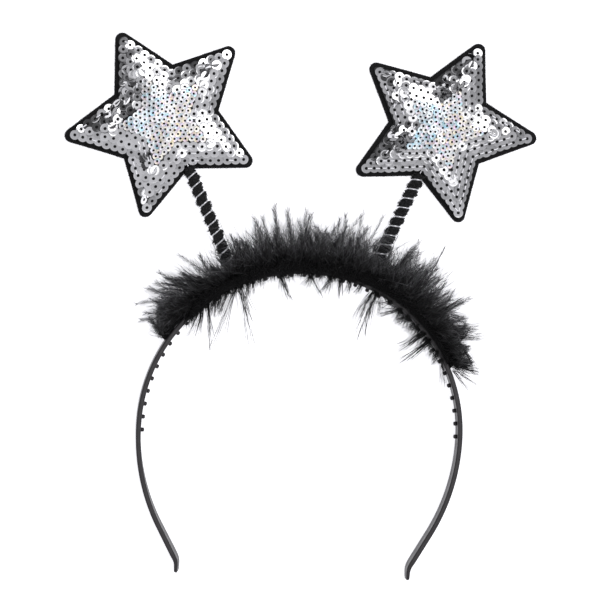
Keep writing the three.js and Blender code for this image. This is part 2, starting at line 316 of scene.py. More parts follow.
# Fan of feathers. A row: angle from the apex, reach of the dense down beyond the band, turn of the
# feathers from straight out towards the ends, and how far they rise over the front of the band.
FAN_ROWS = np.array(
    [
        (-59, 4.0, 42, 55),
        (-57, 5.8, 38, 60),
        (-54, 5.8, 24, 70),
        (-50, 6.6, -8, 85),
        (-45, 10.8, -38, 100),
        (-40, 15.6, -43, 105),
        (-36, 17.2, -36, 105),
        (-33, 15.2, -28, 100),
        (-29.5, 11.6, -22, 85),
        (-27, 7.2, -10, 62),
        (-24.5, 8.8, 6, 62),
        (-22.5, 15.5, -4, 105),
        (-18.5, 17.5, -6, 105),
        (-14, 17.5, -4, 105),
        (-10, 20.0, -4, 105),
        (-5, 19.5, 0, 105),
        (-2, 17.0, 0, 105),
        (2.5, 17.5, 0, 105),
        (7, 15.0, 0, 105),
        (10, 17.5, 2, 105),
        (13, 21.0, 2, 100),
        (17, 18.5, 0, 80),
        (20, 11.0, -4, 50),
        (22.5, 10.5, 4, 50),
        (25, 16.0, 4, 82),
        (28, 19.0, 3, 82),
        (34.5, 21.0, 0, 82),
        (39, 22.0, 3, 82),
        (42, 18.5, 4, 82),
        (44, 16.0, 5, 82),
        (50, 12.5, 12, 82),
        (54, 9.0, 15, 82),
        (58, 7.6, 15, 82),
        (62, 6.0, 12, 82),
        (66, 5.4, 8, 82),
    ]
)
FAN = Sizes(
    angle=np.radians(FAN_ROWS[:, 0]),
    reach=FAN_ROWS[:, 1],
    turn=np.radians(FAN_ROWS[:, 2]),
    most_rise=np.radians(FAN_ROWS[:, 3]),
)
# Clumps that neighbouring feathers form: their size along the crown, shared lean and change of length.
CLUMP = Sizes(length=8.0, lean=0.42, lean_seed=41, longer_length=5.6, longer=0.23, longer_seed=42)
# Dense parts of the trim: an ellipse carried along the crown from one angle to another, whose inner
# edge keeps its distance from the band.
HEARTS = [
    Sizes(start=-58.0, end=64.6, inner=-0.3, z=5.8, width=4.4, height=5.3, taper=0.02),
    Sizes(start=-46.0, end=17.0, inner=-1.7, z=10.3, width=3.3, height=2.2, taper=0.1),
    Sizes(start=15.0, end=62.5, inner=-0.8, z=9.2, width=2.2, height=1.0, taper=0.06),
]
# Their skins: grid, least share of the size where the fan's reach is small, and bumps.
HEART = Sizes(rows=110, sides=22, least=0.4, bump=0.1, bump_length=3.5, bump_seed=5)
# Short hairs that cover the front of the dense parts.
COVER = Sizes(
    seed=38,
    count=900,
    shares=(0.01, 0.99),
    turns=(35, 165),
    outwards=(-0.4, 0.9),
    along=0.7,
    stand=0.7,
    root=0.2,
    lengths=(1.0, 2.8),
    bend=0.25,
    droop=0.2,
    radii=(0.05, 0.08),
    shade=0.3,
)
# Layers of plumes and of single hairs. Rises are turned from straight out towards the front. Lengths
# are shares of the fan's own.
PLUMES = {
    "marabou_tips": Sizes(
        seed=31, count=66, barbs=100, rises=(-10, 40), scatter=0.16, lengths=(0.92, 1.26), width=4.0
    ),
    "marabou_plumes": Sizes(
        seed=32, count=124, barbs=84, rises=(-12, 105), scatter=0.16, lengths=(0.76, 1.05), width=4.4
    ),
}
DOWN_HAIR = Sizes(
    seed=34,
    count=9500,
    rises=(-18, 112),
    scatter=0.34,
    lengths=(0.68, 1.0),
    starts=(0.1, 0.6),
    droop=0.6,
    bend=0.24,
    radii=(0.05, 0.085),
)
WISP = Sizes(
    seed=36,
    count=220,
    rises=(-10, 60),
    scatter=0.3,
    lengths=(0.95, 1.28),
    bend=0.16,
    radii=(0.045, 0.07),
)
# Barbs of a plume: where they start on its shaft, how they open, shorten and curve, and their chance
# parts.
BARB = Sizes(
    first=0.2,
    open_root=48.0,
    open_tip=32.0,
    openings=(0.55, 1.15),
    shorten=0.45,
    lengths=(0.7, 1.12),
    curve=0.14,
    curl=0.09,
    stray=0.08,
    shaft_bend=0.1,
    facing=0.4,
    root_shade=0.8,
    shaft_radii=(0.08, 0.12),
    radii=(0.05, 0.085),
)
# Fringe on the inner edge of the band: its two stretches, in front of the band and behind its front
# edge, its length by the angle from the apex, and how much it points straight in, rather than towards
# the feet.
FRINGE = Sizes(
    front=(-48, 18),
    behind=(33, 58),
    angle=np.radians([-48, -44, -40, -34, -28, -24, -18, 0, 12, 18, 33, 38, 52, 58]),
    length=np.array([1.5, 4.5, 6.0, 6.5, 5.0, 4.4, 4.4, 4.2, 4.2, 2.6, 2.4, 6.5, 7.0, 3.0]),
    inward=np.array([0.4, 0.4, 0.4, 0.4, 0.4, 0.4, 0.4, 0.4, 0.4, 0.4, 0.6, 0.8, 0.7, 0.5]),
    seed=37,
    front_count=2300,
    front_out=(-1.9, 0.4),
    front_rise=(0, 1.5),
    behind_count=766,
    behind_rise=(-6, -1),
    waves=(70, 31),
    shares=(0.25, 1.0),
    short_power=1.3,
    between=0.4,
    aside=0.3,
    pull=1.2,
    bend=0.16,
    droop=0.3,
    radii=(0.05, 0.08),
    shade=0.4,
)
# Bunches of loose barbs. A row: angle from the apex and distance out of the root, direction they hang
# in, turned from +Y towards +X, reach, spread, turn of that direction along a barb, number of barbs.
BUNCHES = np.array(
    [
        (-46.5, -0.5, 190, 6, 14, 0, 8),
        (-43.3, -0.8, 187, 6, 14, 0, 12),
        (-41.0, -1.0, 199, 14.5, 5, 0, 7),
        (-39.6, -1.0, 189, 14, 6, 4, 12),
        (-37.6, -1.2, 174, 20, 4, -6, 10),
        (-34.7, -1.4, 187, 8, 12, 6, 16),
        (-32.4, -1.4, 183, 8, 16, 0, 16),
        (-29.5, -1.4, 196, 12, 10, 4, 10),
        (-26.3, -1.4, 197, 29, 4, -8, 8),
        (-25.3, -1.4, 163, 27, 4, 6, 9),
        (-24.7, -1.4, 158, 17, 5, -4, 10),
        (-22.0, -1.4, 176, 7, 12, 0, 14),
        (-20.4, -1.4, 177, 5.5, 14, 0, 14),
        (-9.5, -1.4, 162, 12.5, 5, -10, 14),
        (-9.8, -1.4, 177, 10, 4, 0, 6),
        (0.9, -1.2, 157, 12, 5, -6, 8),
        (1.8, -1.2, 206, 7.5, 22, 8, 16),
        (8.3, -1.2, 196, 8.5, 20, 6, 22),
        (11.8, -1.2, 181, 9.5, 7, 0, 12),
        (15.2, -1.2, 184, 6, 22, 0, 16),
        (19.5, -1.2, 205, 5, 25, 0, 14),
        (24.8, -1.4, 222, 16, 7, -30, 16),
        (25.9, -1.4, 205, 21, 6, -26, 16),
        (27.0, -1.4, 179, 9, 6, 0, 6),
        (28.3, -1.4, 130, 9, 16, 10, 8),
        (32.0, -1.4, 240, 7, 20, 8, 10),
        (36.6, -1.5, 257, 10, 14, 6, 16),
        (40.4, -1.5, 247, 6, 20, 0, 14),
        (45.0, -1.5, 240, 6, 22, 0, 16),
        (48.7, -1.5, 235, 14, 7, -4, 18),
        (51.9, -1.5, 230, 16, 7, -4, 20),
        (56.6, -1.6, 190, 6, 20, 0, 22),
        (59.9, -1.6, 174, 12, 5, -6, 10),
        (46.7, 9.5, 60, 11, 8, 6, 12),
        (49.4, 11.0, 94, 8, 12, 8, 10),
        (52.4, 8.5, 88, 12.5, 6, 4, 14),
        (54.4, 7.0, 82, 12, 8, -8, 12),
        (56.4, 8.0, 86, 12, 7, -10, 12),
        (58.6, 7.5, 138, 12, 8, 10, 14),
        (65.5, 4.5, 106, 7.5, 12, 6, 26),
        (65.3, 1.4, 122, 13.5, 4, 4, 7),
        (65.3, 0.6, 140, 11, 4, -4, 6),
    ]
)
# The barbs of a bunch: how many stand for one of the row's, and how they vary and droop.
LOOSE = Sizes(
    seed=35,
    thicker=1.7,
    root_rise=(0, 1.6),
    root_angle=0.009,
    root_out=0.3,
    steps=9,
    lock=0.5,
    stray=0.14,
    lock_curl=5,
    curl=6,
    longest=1.08,
    shorter=0.6,
    short_power=1.4,
    lift=0.12,
    droop=0.34,
    radii=(0.06, 0.095),
    shade=0.45,
)

band_high = np.array(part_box("headband")[1]) / MM
ARCH = np.array([band_high[0] - BAND.outer_radius, band_high[1] - BAND.outer_radius, 0.0])


# Arithmetic on arrays of points

def heading(lean):
    """Direction in the table plane, turned from +Y towards +X."""
    lean = np.asarray(lean, float)
    return np.stack([np.sin(lean), np.cos(lean), np.zeros_like(lean)], axis=-1)


def unit(vectors):
    """Each vector divided by its length."""
    return vectors / np.maximum(np.linalg.norm(vectors, axis=-1, keepdims=True), 1e-9)


def ease(value, low, high):
    """Smooth step: 0 up to low, 1 from high, and 3 t squared - 2 t cubed between."""
    t = np.clip((value - low) / (high - low), 0, 1)
    return t * t * (3 - 2 * t)


def ripple(points, wavelength, seed, waves=9):
    """Soft unevenness, mostly from -1 to 1: the sum of plane waves of one length with random
    directions and phases, divided by the root of half their number."""
    rng = np.random.default_rng(seed)
    fronts = unit(rng.normal(size=(waves, points.shape[-1]))) * TURN / wavelength
    phases = rng.uniform(0, TURN, waves)
    return np.sin(points @ fronts.T + phases).sum(axis=-1) / np.sqrt(2 * waves)


def turned(points, angle):
    """Points in a plane, turned counter-clockwise by each angle: shape (angles, points, 2)."""
    angle = np.atleast_1d(angle)[:, None]
    x, y = points[..., 0], points[..., 1]
    return np.stack(
        [x * np.cos(angle) - y * np.sin(angle), x * np.sin(angle) + y * np.cos(angle)], axis=-1
    )


def full_turn(places):
    """Angles of evenly spaced places round a full turn."""
    return TURN * np.arange(places) / places


def on_circle(angle):
    """Points of the unit circle in a plane."""
    return np.stack([np.cos(angle), np.sin(angle)], axis=-1)


def rounded_end(way, run, least=0.02):
    """Share of its size that a form has near its end: a quarter circle over the run, and 1 after it."""
    near = np.clip(way / run, least, 1)
    return np.sqrt(1 - (1 - near) ** 2)


def beside_crown(angle, out, z):
    """Point beside the crown: angle from the apex, distance out from the band, height above the table."""
    place = ARCH + heading(angle) * (BAND.outer_radius + np.asarray(out))[..., None]
    place[..., 2] = z
    return place


# Meshes from arrays

def grid_quads(rows, columns, close_rows=False):
    """Quads of a grid in row order whose columns close into a ring, and its rows too if asked."""
    row, column = np.meshgrid(np.arange(rows - (not close_rows)), np.arange(columns), indexing="ij")
    here = row * columns
    above = (row + 1) % rows * columns
    following = (column + 1) % columns
    corners = [here + column, here + following, above + following, above + column]
    return np.stack(corners, axis=-1).reshape(-1, 4)


def copied(faces, copies, size):
    """The faces of one shape repeated for each copy of its points."""
    steps = (np.arange(copies) * size)[:, None, None]
    return (faces[None] + steps).reshape(-1, faces.shape[1])


def lofted(rings):
    """Closed skins through rings of shape (copies, rows, columns, 3): quads between the rings of a
    copy and one face on each end. Rings run counter-clockwise seen against the way along them."""
    rings = rings.reshape(-1, *rings.shape[-3:])
    copies, rows, columns = rings.shape[:3]
    first = np.arange(columns)[None]
    parts = [grid_quads(rows, columns), first[:, ::-1], first + (rows - 1) * columns]
    return rings.reshape(-1, 3), [copied(part, copies, rows * columns) for part in parts]


def rings_along(paths, radii, sideways, sides):
    """Polygons along paths: at each step one of the step's radius, square to the path. Its first corner
    points along the sideways vector less that vector's part along the path."""
    ahead = unit(np.gradient(paths, axis=1))
    sideways = np.broadcast_to(sideways, paths.shape)
    first = unit(sideways - ahead * (sideways * ahead).sum(axis=-1, keepdims=True))
    second = np.cross(ahead, first)
    turn = full_turn(sides)[:, None]
    ring = first[:, :, None] * np.cos(turn) + second[:, :, None] * np.sin(turn)
    return paths[:, :, None] + radii[:, :, None, None] * ring


def tubes(paths, radius, sideways, sides):
    """Closed tubes of one radius along paths."""
    return lofted(rings_along(paths, np.full(paths.shape[:2], radius), sideways, sides))


def hair_paths(root, direction, length, bend, steps):
    """Curved hairs: root + length * (direction * t + bend * t squared), for t from 0 to 1."""
    t = np.linspace(0, 1, steps)[:, None]
    return root[:, None] + length[:, None, None] * (direction[:, None] * t + bend[:, None] * t * t)


def hairs(paths, radius, start=0.0, end=1.0, thin=0.45):
    """Three-sided hairs whose radius falls with the square of the way and which end in a point. Gives
    the shape, and as attributes how far out each point counts as lying, which sets the painted light
    on it, from the start to the end value of its hair, and a shade of the hair's own."""
    count, steps = paths.shape[:2]
    t = np.linspace(0, 1, steps)
    radii = radius[:, None] * (1 - thin * t * t)
    ahead = unit(paths[:, 1] - paths[:, 0])[:, None]
    steep = np.abs(ahead[..., 2:]) > STEEPEST
    sideways = np.where(steep, ACROSS, UP)
    rings = rings_along(paths, radii, sideways, 3)[:, :-1]
    points = np.concatenate([rings.reshape(count, -1, 3), paths[:, -1:]], axis=1)
    size = points.shape[1]
    corner = np.arange(3)
    last = size - 4
    tip = np.stack([last + corner, last + (corner + 1) % 3, np.full(3, size - 1)], axis=-1)
    parts = [grid_quads(steps - 1, 3), corner[None, ::-1], tip]
    faces = [copied(part, count, size) for part in parts]
    own = np.random.default_rng(count).uniform(0, 1, count)
    start, end = (np.broadcast_to(value, count)[:, None] for value in (start, end))
    along = start + (end - start) * np.append(np.repeat(t[:-1], 3), 1.0)
    shades = {"along": along.ravel(), "own_shade": np.repeat(own, size)}
    return (points.reshape(-1, 3), faces), shades


def joined_hairs(*parts):
    """Several shapes of hairs as one, with their attributes end to end."""
    shades = {name: np.concatenate([part[1][name] for part in parts]) for name in ("along", "own_shade")}
    return joined(*(part[0] for part in parts)), shades


def joined(*shapes):
    """Several shapes as one: points end to end, face numbers moved on."""
    points, faces, count = [], [], 0
    for shape_points, shape_faces in shapes:
        points.append(shape_points)
        faces += [part + count for part in shape_faces]
        count += len(shape_points)
    return np.concatenate(points), faces


def new_piece(name, shape, finish, slot, stands_for=(), smooth=True, **shades):
    """Object at the origin with its place in its mesh, riding with the band.
    Shades are attributes: a value or a colour for each point."""
    points, faces = shape
    mesh = bpy.data.meshes.new(name)
    mesh.from_pydata((points * MM).tolist(), [], [face for part in faces for face in part.tolist()])
    mesh.polygons.foreach_set("use_smooth", np.full(len(mesh.polygons), smooth))
    for shade, values in shades.items():
        coloured = values.ndim == 2
        attribute = mesh.attributes.new(shade, "FLOAT_COLOR" if coloured else "FLOAT", "POINT")
        attribute.data.foreach_set("color" if coloured else "value", values.astype(np.float32).ravel())
    mesh.materials.append(finish)
    piece = bpy.data.objects.new(name, mesh)
    bpy.context.collection.objects.link(piece)
    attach(piece, "root")
    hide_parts(*stands_for)
    return piece


# Shader node groups and materials

def feed(tree, socket, value):
    """Sets a socket to a value, or links it to another node's socket."""
    if isinstance(value, bpy.types.NodeSocket):
        tree.links.new(value, socket)
    else:
        socket.default_value = value


def fill(tree, sockets, **inputs):
    """Feeds sockets by name, with _ for a space."""
    for name, value in inputs.items():
        feed(tree, sockets[name.replace("_", " ")], value)


def put(tree, kind, settings=None, **inputs):
    """New node with its settings and its inputs."""
    made = tree.nodes.new(kind)
    for name, value in (settings or {}).items():
        setattr(made, name, value)
    fill(tree, made.inputs, **inputs)
    return made


def reckoned(tree, operation, *values):
    """Result of a maths node on sockets and values."""
    made = put(tree, "ShaderNodeMath", {"operation": operation})
    for socket, value in zip(made.inputs, values):
        feed(tree, socket, value)
    return made.outputs[0]


def named_shade(tree, name):
    """Output sockets of a node that reads one of the piece's own attributes."""
    return put(tree, "ShaderNodeAttribute", {"attribute_name": name}).outputs


def new_group(name, inputs, outputs):
    """Empty shader group with named sockets, given as (name, kind) pairs."""
    group = bpy.data.node_groups.new(name, "ShaderNodeTree")
    for socket_name, kind in inputs:
        group.interface.new_socket(socket_name, in_out="INPUT", socket_type="NodeSocket" + kind)
    for socket_name, kind in outputs:
        group.interface.new_socket(socket_name, in_out="OUTPUT", socket_type="NodeSocket" + kind)
    return group, group.nodes.new("NodeGroupInput").outputs, group.nodes.new("NodeGroupOutput").inputs


def fibre_grain():
    """Tangled fibres: fine noise, five times finer and bent, plus half of a coarse one gives the height,
    and the upper half of its range mixes two colours."""
    sockets = [("Vector", "Vector"), ("Scale", "Float"), ("Dark", "Color"), ("Light", "Color")]
    group, given, result = new_group("fibre_grain", sockets, [("Color", "Color"), ("Height", "Float")])
    place, scale = given["Vector"], given["Scale"]
    coarse = put(group, "ShaderNodeTexNoise", Vector=place, Scale=scale, Detail=2.0)
    finer = reckoned(group, "MULTIPLY", scale, 5.0)
    fine = put(group, "ShaderNodeTexNoise", Vector=place, Scale=finer, Detail=3.0, Distortion=1.5)
    height = reckoned(group, "MULTIPLY_ADD", coarse.outputs["Fac"], 0.5, fine.outputs["Fac"])
    share = put(group, "ShaderNodeMapRange", Value=height, From_Min=0.5, From_Max=1.0)
    colour = put(group, "ShaderNodeMix", {"data_type": "RGBA"}, Factor=share.outputs["Result"])
    group.links.new(given["Dark"], colour.inputs[6])
    group.links.new(given["Light"], colour.inputs[7])
    fill(group, result, Color=colour.outputs[2], Height=height)
    return group


def handling_marks():
    """Uneven gloss of a handled surface: noise moves the roughness between two values, and is a height
    too."""
    sockets = [("Vector", "Vector"), ("Scale", "Float"), ("Smooth", "Float"), ("Dull", "Float")]
    group, given, result = new_group(
        "handling_marks", sockets, [("Roughness", "Float"), ("Height", "Float")]
    )
    place, scale = given["Vector"], given["Scale"]
    noise = put(group, "ShaderNodeTexNoise", Vector=place, Scale=scale, Detail=4.0, Roughness=0.65)
    spread = {"From_Min": 0.3, "From_Max": 0.7, "To_Min": given["Smooth"], "To_Max": given["Dull"]}
    rough = put(group, "ShaderNodeMapRange", Value=noise.outputs["Fac"], **spread)
    fill(group, result, Roughness=rough.outputs["Result"], Height=noise.outputs["Fac"])
    return group


def grey(value):
    """Grey with a trace of blue."""
    return value, value, value * 1.04, 1.0


def new_finish(name):
    """Material with a bare Principled shader: its tree, the shader's inputs and Object coordinates."""
    material = bpy.data.materials.new(name)
    material.use_nodes = True
    tree = material.node_tree
    shader = next(n for n in tree.nodes if n.type == "BSDF_PRINCIPLED")
    place = put(tree, "ShaderNodeTexCoord").outputs["Object"]
    return material, tree, shader.inputs, place


def placed(tree, group, **inputs):
    """A shader group in a material, with its own values."""
    return put(tree, "ShaderNodeGroup", {"node_tree": group}, **inputs).outputs


def raised(tree, height, distance, strength):
    """Bump of a height, with the distance in metres."""
    bump = put(tree, "ShaderNodeBump", Height=height, Distance=distance, Strength=strength)
    return bump.outputs["Normal"]


def fibre_finish(name, scale, dark, light, roughness, bump, painted_glow=0.0):
    """Matt fibres: grain in two close colours and a bump. Painted glow is an emission that paints
    light on the fibres, though they are no lamp.
    """
    material, tree, shader, place = new_finish(name)
    grain = placed(tree, FIBRE_GRAIN, Vector=place, Scale=scale, Dark=grey(dark), Light=grey(light))
    normal = raised(tree, grain["Height"], distance=bump, strength=0.6)
    fill(tree, shader, Base_Color=grain["Color"], Normal=normal, Roughness=roughness)
    fill(tree, shader, Specular_IOR_Level=0.15, Emission_Color=grey(1.0), Emission_Strength=painted_glow)
    return material


def painted_tip_light_finish(name, root, middle, tip, shine):
    """Dyed black hairs, greyer where a point counts as lying far out: painted light for the light that
    the thin outer ends let through and scatter. Each hair has a shade of its own. The three greys are
    at 0, 0.3 and 1 of the product of both attributes."""
    material, tree, shader, _ = new_finish(name)
    along, own = (named_shade(tree, shade)["Fac"] for shade in ("along", "own_shade"))
    share = reckoned(tree, "MULTIPLY", along, own)
    ramp = put(tree, "ShaderNodeValToRGB", Fac=share)
    ramp.color_ramp.elements[0].color = grey(root)
    ramp.color_ramp.elements[1].color = grey(tip)
    ramp.color_ramp.elements.new(0.3).color = grey(middle)
    fill(tree, shader, Base_Color=ramp.outputs["Color"], Roughness=0.5, Specular_IOR_Level=shine)
    return material


def plastic_finish():
    """Black moulded plastic: satin gloss with handling marks and a very shallow bump."""
    material, tree, shader, place = new_finish("black_plastic")
    marks = placed(tree, HANDLING_MARKS, Vector=place, Scale=420.0, Smooth=0.36, Dull=0.5)
    normal = raised(tree, marks["Height"], distance=0.00003, strength=0.4)
    black = (0.026, 0.023, 0.0255, 1.0)
    fill(tree, shader, Base_Color=black, Roughness=marks["Roughness"], Normal=normal)
    return material


def wire_finish():
    """Bright drawn wire: metal with fine marks."""
    material, tree, shader, place = new_finish("silver_wire")
    marks = placed(tree, HANDLING_MARKS, Vector=place, Scale=900.0, Smooth=0.14, Dull=0.3)
    fill(tree, shader, Base_Color=grey(0.95), Roughness=marks["Roughness"], Metallic=0.55)
    return material


def sequin_finish(name, smooth, dull, metal):
    """Metallised film: each disc has a tint of its own, with uneven gloss and a faint warp."""
    material, tree, shader, place = new_finish(name)
    tint = named_shade(tree, "tint")["Color"]
    marks = placed(tree, HANDLING_MARKS, Vector=place, Scale=700.0, Smooth=smooth, Dull=dull)
    normal = raised(tree, marks["Height"], distance=0.00002, strength=0.3)
    fill(tree, shader, Base_Color=tint, Roughness=marks["Roughness"], Normal=normal, Metallic=metal)
    return material


FIBRE_GRAIN = fibre_grain()
HANDLING_MARKS = handling_marks()
PLASTIC = plastic_finish()
WIRE = wire_finish()
# Hair finishes: black dye at the root, and lighter greys outwards that are painted light.
BARBS = painted_tip_light_finish("marabou_barbs", root=0.006, middle=0.04, tip=0.56, shine=0.12)
PILE_HAIRS = painted_tip_light_finish("pile_hairs", root=0.008, middle=0.03, tip=0.26, shine=0.2)
FELT = fibre_finish("black_felt", scale=900.0, dark=0.008, light=0.026, roughness=0.9, bump=0.0002)
CLOTH = fibre_finish("pad_cloth", scale=1400.0, dark=0.03, light=0.08, roughness=0.85, bump=0.0001)
CHENILLE = fibre_finish("chenille", scale=1600.0, dark=0.008, light=0.034, roughness=0.6, bump=0.0002)
DOWN = fibre_finish("dense_down", scale=700.0, dark=0.003, light=0.01, roughness=0.9, bump=0.0004)
# White thread, brightened by a painted glow: emission that paints light on it.
THREAD = fibre_finish(
    "white_thread", scale=3000.0, dark=0.88, light=0.98, roughness=0.4, bump=0.00005, painted_glow=0.3
)
SILVER_FILM = sequin_finish("silver_sequin", smooth=0.09, dull=0.18, metal=1.0)
RAINBOW_FILM = sequin_finish("rainbow_sequin", smooth=0.24, dull=0.36, metal=0.55)


# Band

def band_half():
    """Right half of the band's outer edge from the apex to the toe: points, outward directions and the
    way left to the toe. The edge is a run of arcs and straights, so the angle that it has turned is
    the sum of curvature times way, and its points are the running sum of its direction."""
    quarter = TURN / 4
    radius = np.array([BAND.outer_radius, BAND.cheek_radius, np.inf, -BAND.foot_bend_radius, np.inf])
    length = np.array(
        [
            BAND.outer_radius * quarter,
            BAND.cheek_radius * BAND.cheek_sweep,
            BAND.leg_run,
            BAND.foot_bend_radius * BAND.cheek_sweep,
            BAND.foot_run,
        ]
    )
    start = np.cumsum(length) - length

    def angle_at(way):
        """Angle that the edge has turned at a way from the apex."""
        return (np.clip(way[:, None] - start, 0, length) / radius).sum(axis=1)

    way = np.linspace(0, length.sum(), BAND.stations)
    middle = angle_at((way[1:] + way[:-1]) / 2)
    moves = heading(middle + quarter) * np.diff(way)[:, None]
    points = np.concatenate([np.zeros((1, 3)), np.cumsum(moves, axis=0)])
    points[:, 1] += BAND.outer_radius
    return points, heading(angle_at(way)), length.sum() - way


def band_section():
    """Rounded rectangle as shares: signs of the corner's centre outwards and upwards, and the cosine
    and sine on its arc. On the inner face the upward share runs from 1 to -1."""
    turn = np.linspace(0, 1, BAND.edge_steps + 1)
    corner = np.repeat(np.arange(4), len(turn))
    angle = (corner + np.tile(turn, 4)) * TURN / 4
    face = np.linspace(1, -1, BAND.face_steps + 1)[1:-1]
    inner = 2 * len(turn)
    outwards = np.insert(np.array([1.0, -1.0, -1.0, 1.0])[corner], inner, -1 + 0 * face)
    upwards = np.insert(np.array([1.0, 1.0, -1.0, -1.0])[corner], inner, face)
    cosine = np.insert(np.cos(angle), inner, -1 + 0 * face)
    return outwards, upwards, cosine, np.insert(np.sin(angle), inner, 0 * face)


def band_sweep():
    """The section carried from the left toe to the right one. It slims towards each toe, and its last
    stretch shrinks as a quarter circle. The hollow is a parabola across the inner face, and the left
    leg's lean is a shear in proportion to the height."""
    points, outward, left = band_half()
    mirror = np.array([-1.0, 1.0, 1.0])
    points = np.concatenate([(points * mirror)[:0:-1], points])
    outward = np.concatenate([(outward * mirror)[:0:-1], outward])
    left = np.concatenate([left[:0:-1], left])[:, None]
    slim = 1 - ease(left, 0, BAND.foot_taper)
    close = 1 - np.clip(left / BAND.tip_run, 0, 1)
    tip = np.maximum(np.sqrt(1 - close * close), BAND.tip_least)
    thickness = BAND.thickness + (BAND.foot_thickness - BAND.thickness) * slim
    width = BAND.width + (BAND.foot_width - BAND.width) * slim
    outwards, upwards, cosine, sine = band_section()
    rounding = np.minimum(BAND.edge_round, thickness / 2 - BAND.edge_flat)
    hollow = BAND.hollow * (1 - upwards * upwards)
    depth = outwards * (thickness / 2 - rounding) + rounding * cosine + hollow
    rise = upwards * (width / 2 - rounding) + rounding * sine
    z = rise * tip + BAND.width / 2
    lean = BAND.left_lean * np.clip(1 - left / BAND.left_lean_run, 0, 1) * (points[:, :1] < 0)
    depth = depth * tip - BAND.thickness / 2 + lean * z
    rings = ARCH + points[:, None] + outward[:, None] * depth[..., None]
    rings[..., 2] = z
    return lofted(rings)


def comb_teeth():
    """Pegs: a round wall, then a dome that is a quarter ellipse turned round the peg's axis."""
    angle = TOOTH.middle + (np.arange(TOOTH.count) - (TOOTH.count - 1) / 2) * TOOTH.pitch
    arc = np.linspace(0, TURN / 4 * TOOTH.dome, TOOTH.rows)
    radius = np.concatenate([[TOOTH.radius], TOOTH.radius * np.cos(arc)])
    height = np.concatenate([[-TOOTH.root], TOOTH.wall + (TOOTH.height - TOOTH.wall) * np.sin(arc)])
    turn = full_turn(TOOTH.sides)
    along = heading(angle + TURN / 4)[:, None, None]
    seat = beside_crown(angle, np.full(len(angle), -BAND.thickness), BAND.width / 2)[:, None, None]
    ring = radius[:, None, None] * (along * np.cos(turn)[:, None] + UP * np.sin(turn)[:, None])
    return lofted(seat - heading(angle)[:, None, None] * height[:, None, None] + ring)


def make_band():
    """Band and teeth, as one moulding."""
    shape = joined(band_sweep(), comb_teeth())
    new_piece("comb_band", shape, PLASTIC, "band_plastic", ["headband"])


# Stems

def stem_frame(star):
    """A stem's root on the crown, its notch on the star, and its own three directions: across, along
    and over. They are the table's axes turned the shortest way from +Y onto the stem."""
    root = ARCH + heading(star.root_angle) * BAND.outer_radius
    root[2] = STEM.root_height
    notch = root + heading(star.stem_lean) * star.stem_length
    notch[2] = STEM.notch_height
    along = unit(notch - root)
    cross = np.cross([0.0, 1.0, 0.0], along)
    twist = np.array([[0, -cross[2], cross[1]], [cross[2], 0, -cross[0]], [-cross[1], cross[0], 0]])
    turn = np.eye(3) + twist + twist @ twist / (1 + along[1])
    return Sizes(root=root, notch=notch, across=turn[:, 0], along=along, over=turn[:, 2])


def on_stem(stem, radius, turn, run):
    """Point round a stem: radius and turn from its front towards its right, and way from its root."""
    radius, turn, run = (np.asarray(value, float)[..., None] for value in (radius, turn, run))
    return stem.root + stem.along * run + radius * (stem.across * np.sin(turn) + stem.over * np.cos(turn))


def coil_run(star):
    """Way along the stem over which the coil keeps its radius."""
    return star.stem_length - STEM.notch_clearance - STEM.gap - STEM.wire_radius


def coil_wire(star, stem):
    """Wire: a helix whose radius shrinks to the axis at the notch, then a straight tail into the star."""
    length = coil_run(star) + STEM.notch_clearance
    run = np.arange(0, length + STEM.tail_run, STEM.pitch / STEM.wire_steps)
    turn = TURN * np.minimum(run, length) / STEM.pitch
    radius = STEM.coil_radius * (1 - ease(run, coil_run(star), length))
    path = on_stem(stem, radius, turn, run + STEM.gap + STEM.wire_radius)[None]
    outwards = on_stem(stem, np.ones_like(turn), turn, np.zeros_like(turn))[None] - stem.root
    return tubes(path, STEM.wire_radius, outwards, STEM.wire_sides)


def off_wire(turn, run):
    """Sine of half the turn from the wire: 0 at the wire, 1 midway between its turns."""
    return np.abs(np.sin((turn - TURN * (run - STEM.wire_radius) / STEM.pitch) / 2))


def pile_radius(star, stem, turn, run):
    """Chenille's radius: least beneath the wire, swelling with the sine of half the turn from it, and
    uneven by a coarse and a fine ripple."""
    radius = PILE.valley + PILE.swell * off_wire(turn, run) ** PILE.swell_power
    place = on_stem(stem, radius, turn, run)
    uneven = PILE.coarse_share * ripple(place, PILE.coarse, star.seed)
    uneven = uneven + ripple(place, PILE.fine, star.seed + 1)
    return radius * (1 + PILE.lump * uneven)


def pile_run(star):
    """Way along the stem that the chenille covers."""
    return star.stem_length - STEM.gap + PILE.overlap


def over_felt(star, points, run):
    """Points of the pile kept off the table, and above the felt where they lie over it."""
    ground = np.where(run > star.stem_length - 2 * STEM.gap, STAR.felt, 0)
    points[..., 2] = np.maximum(points[..., 2], ground + PILE.off_table)
    return points


def pile_core(star, stem):
    """Chenille core: rings along the stem with the pile's radius, rounded off at both ends."""
    length = pile_run(star)
    rings = int(length / STEM.pitch * PILE.rings_each_turn)
    run = np.linspace(0, length, rings)[:, None]
    turn = full_turn(PILE.sides)[None]
    radius = pile_radius(star, stem, turn, run) * rounded_end(np.minimum(run, length - run), PILE.end)
    return lofted(over_felt(star, on_stem(stem, radius, turn, run + STEM.gap), run + STEM.gap))


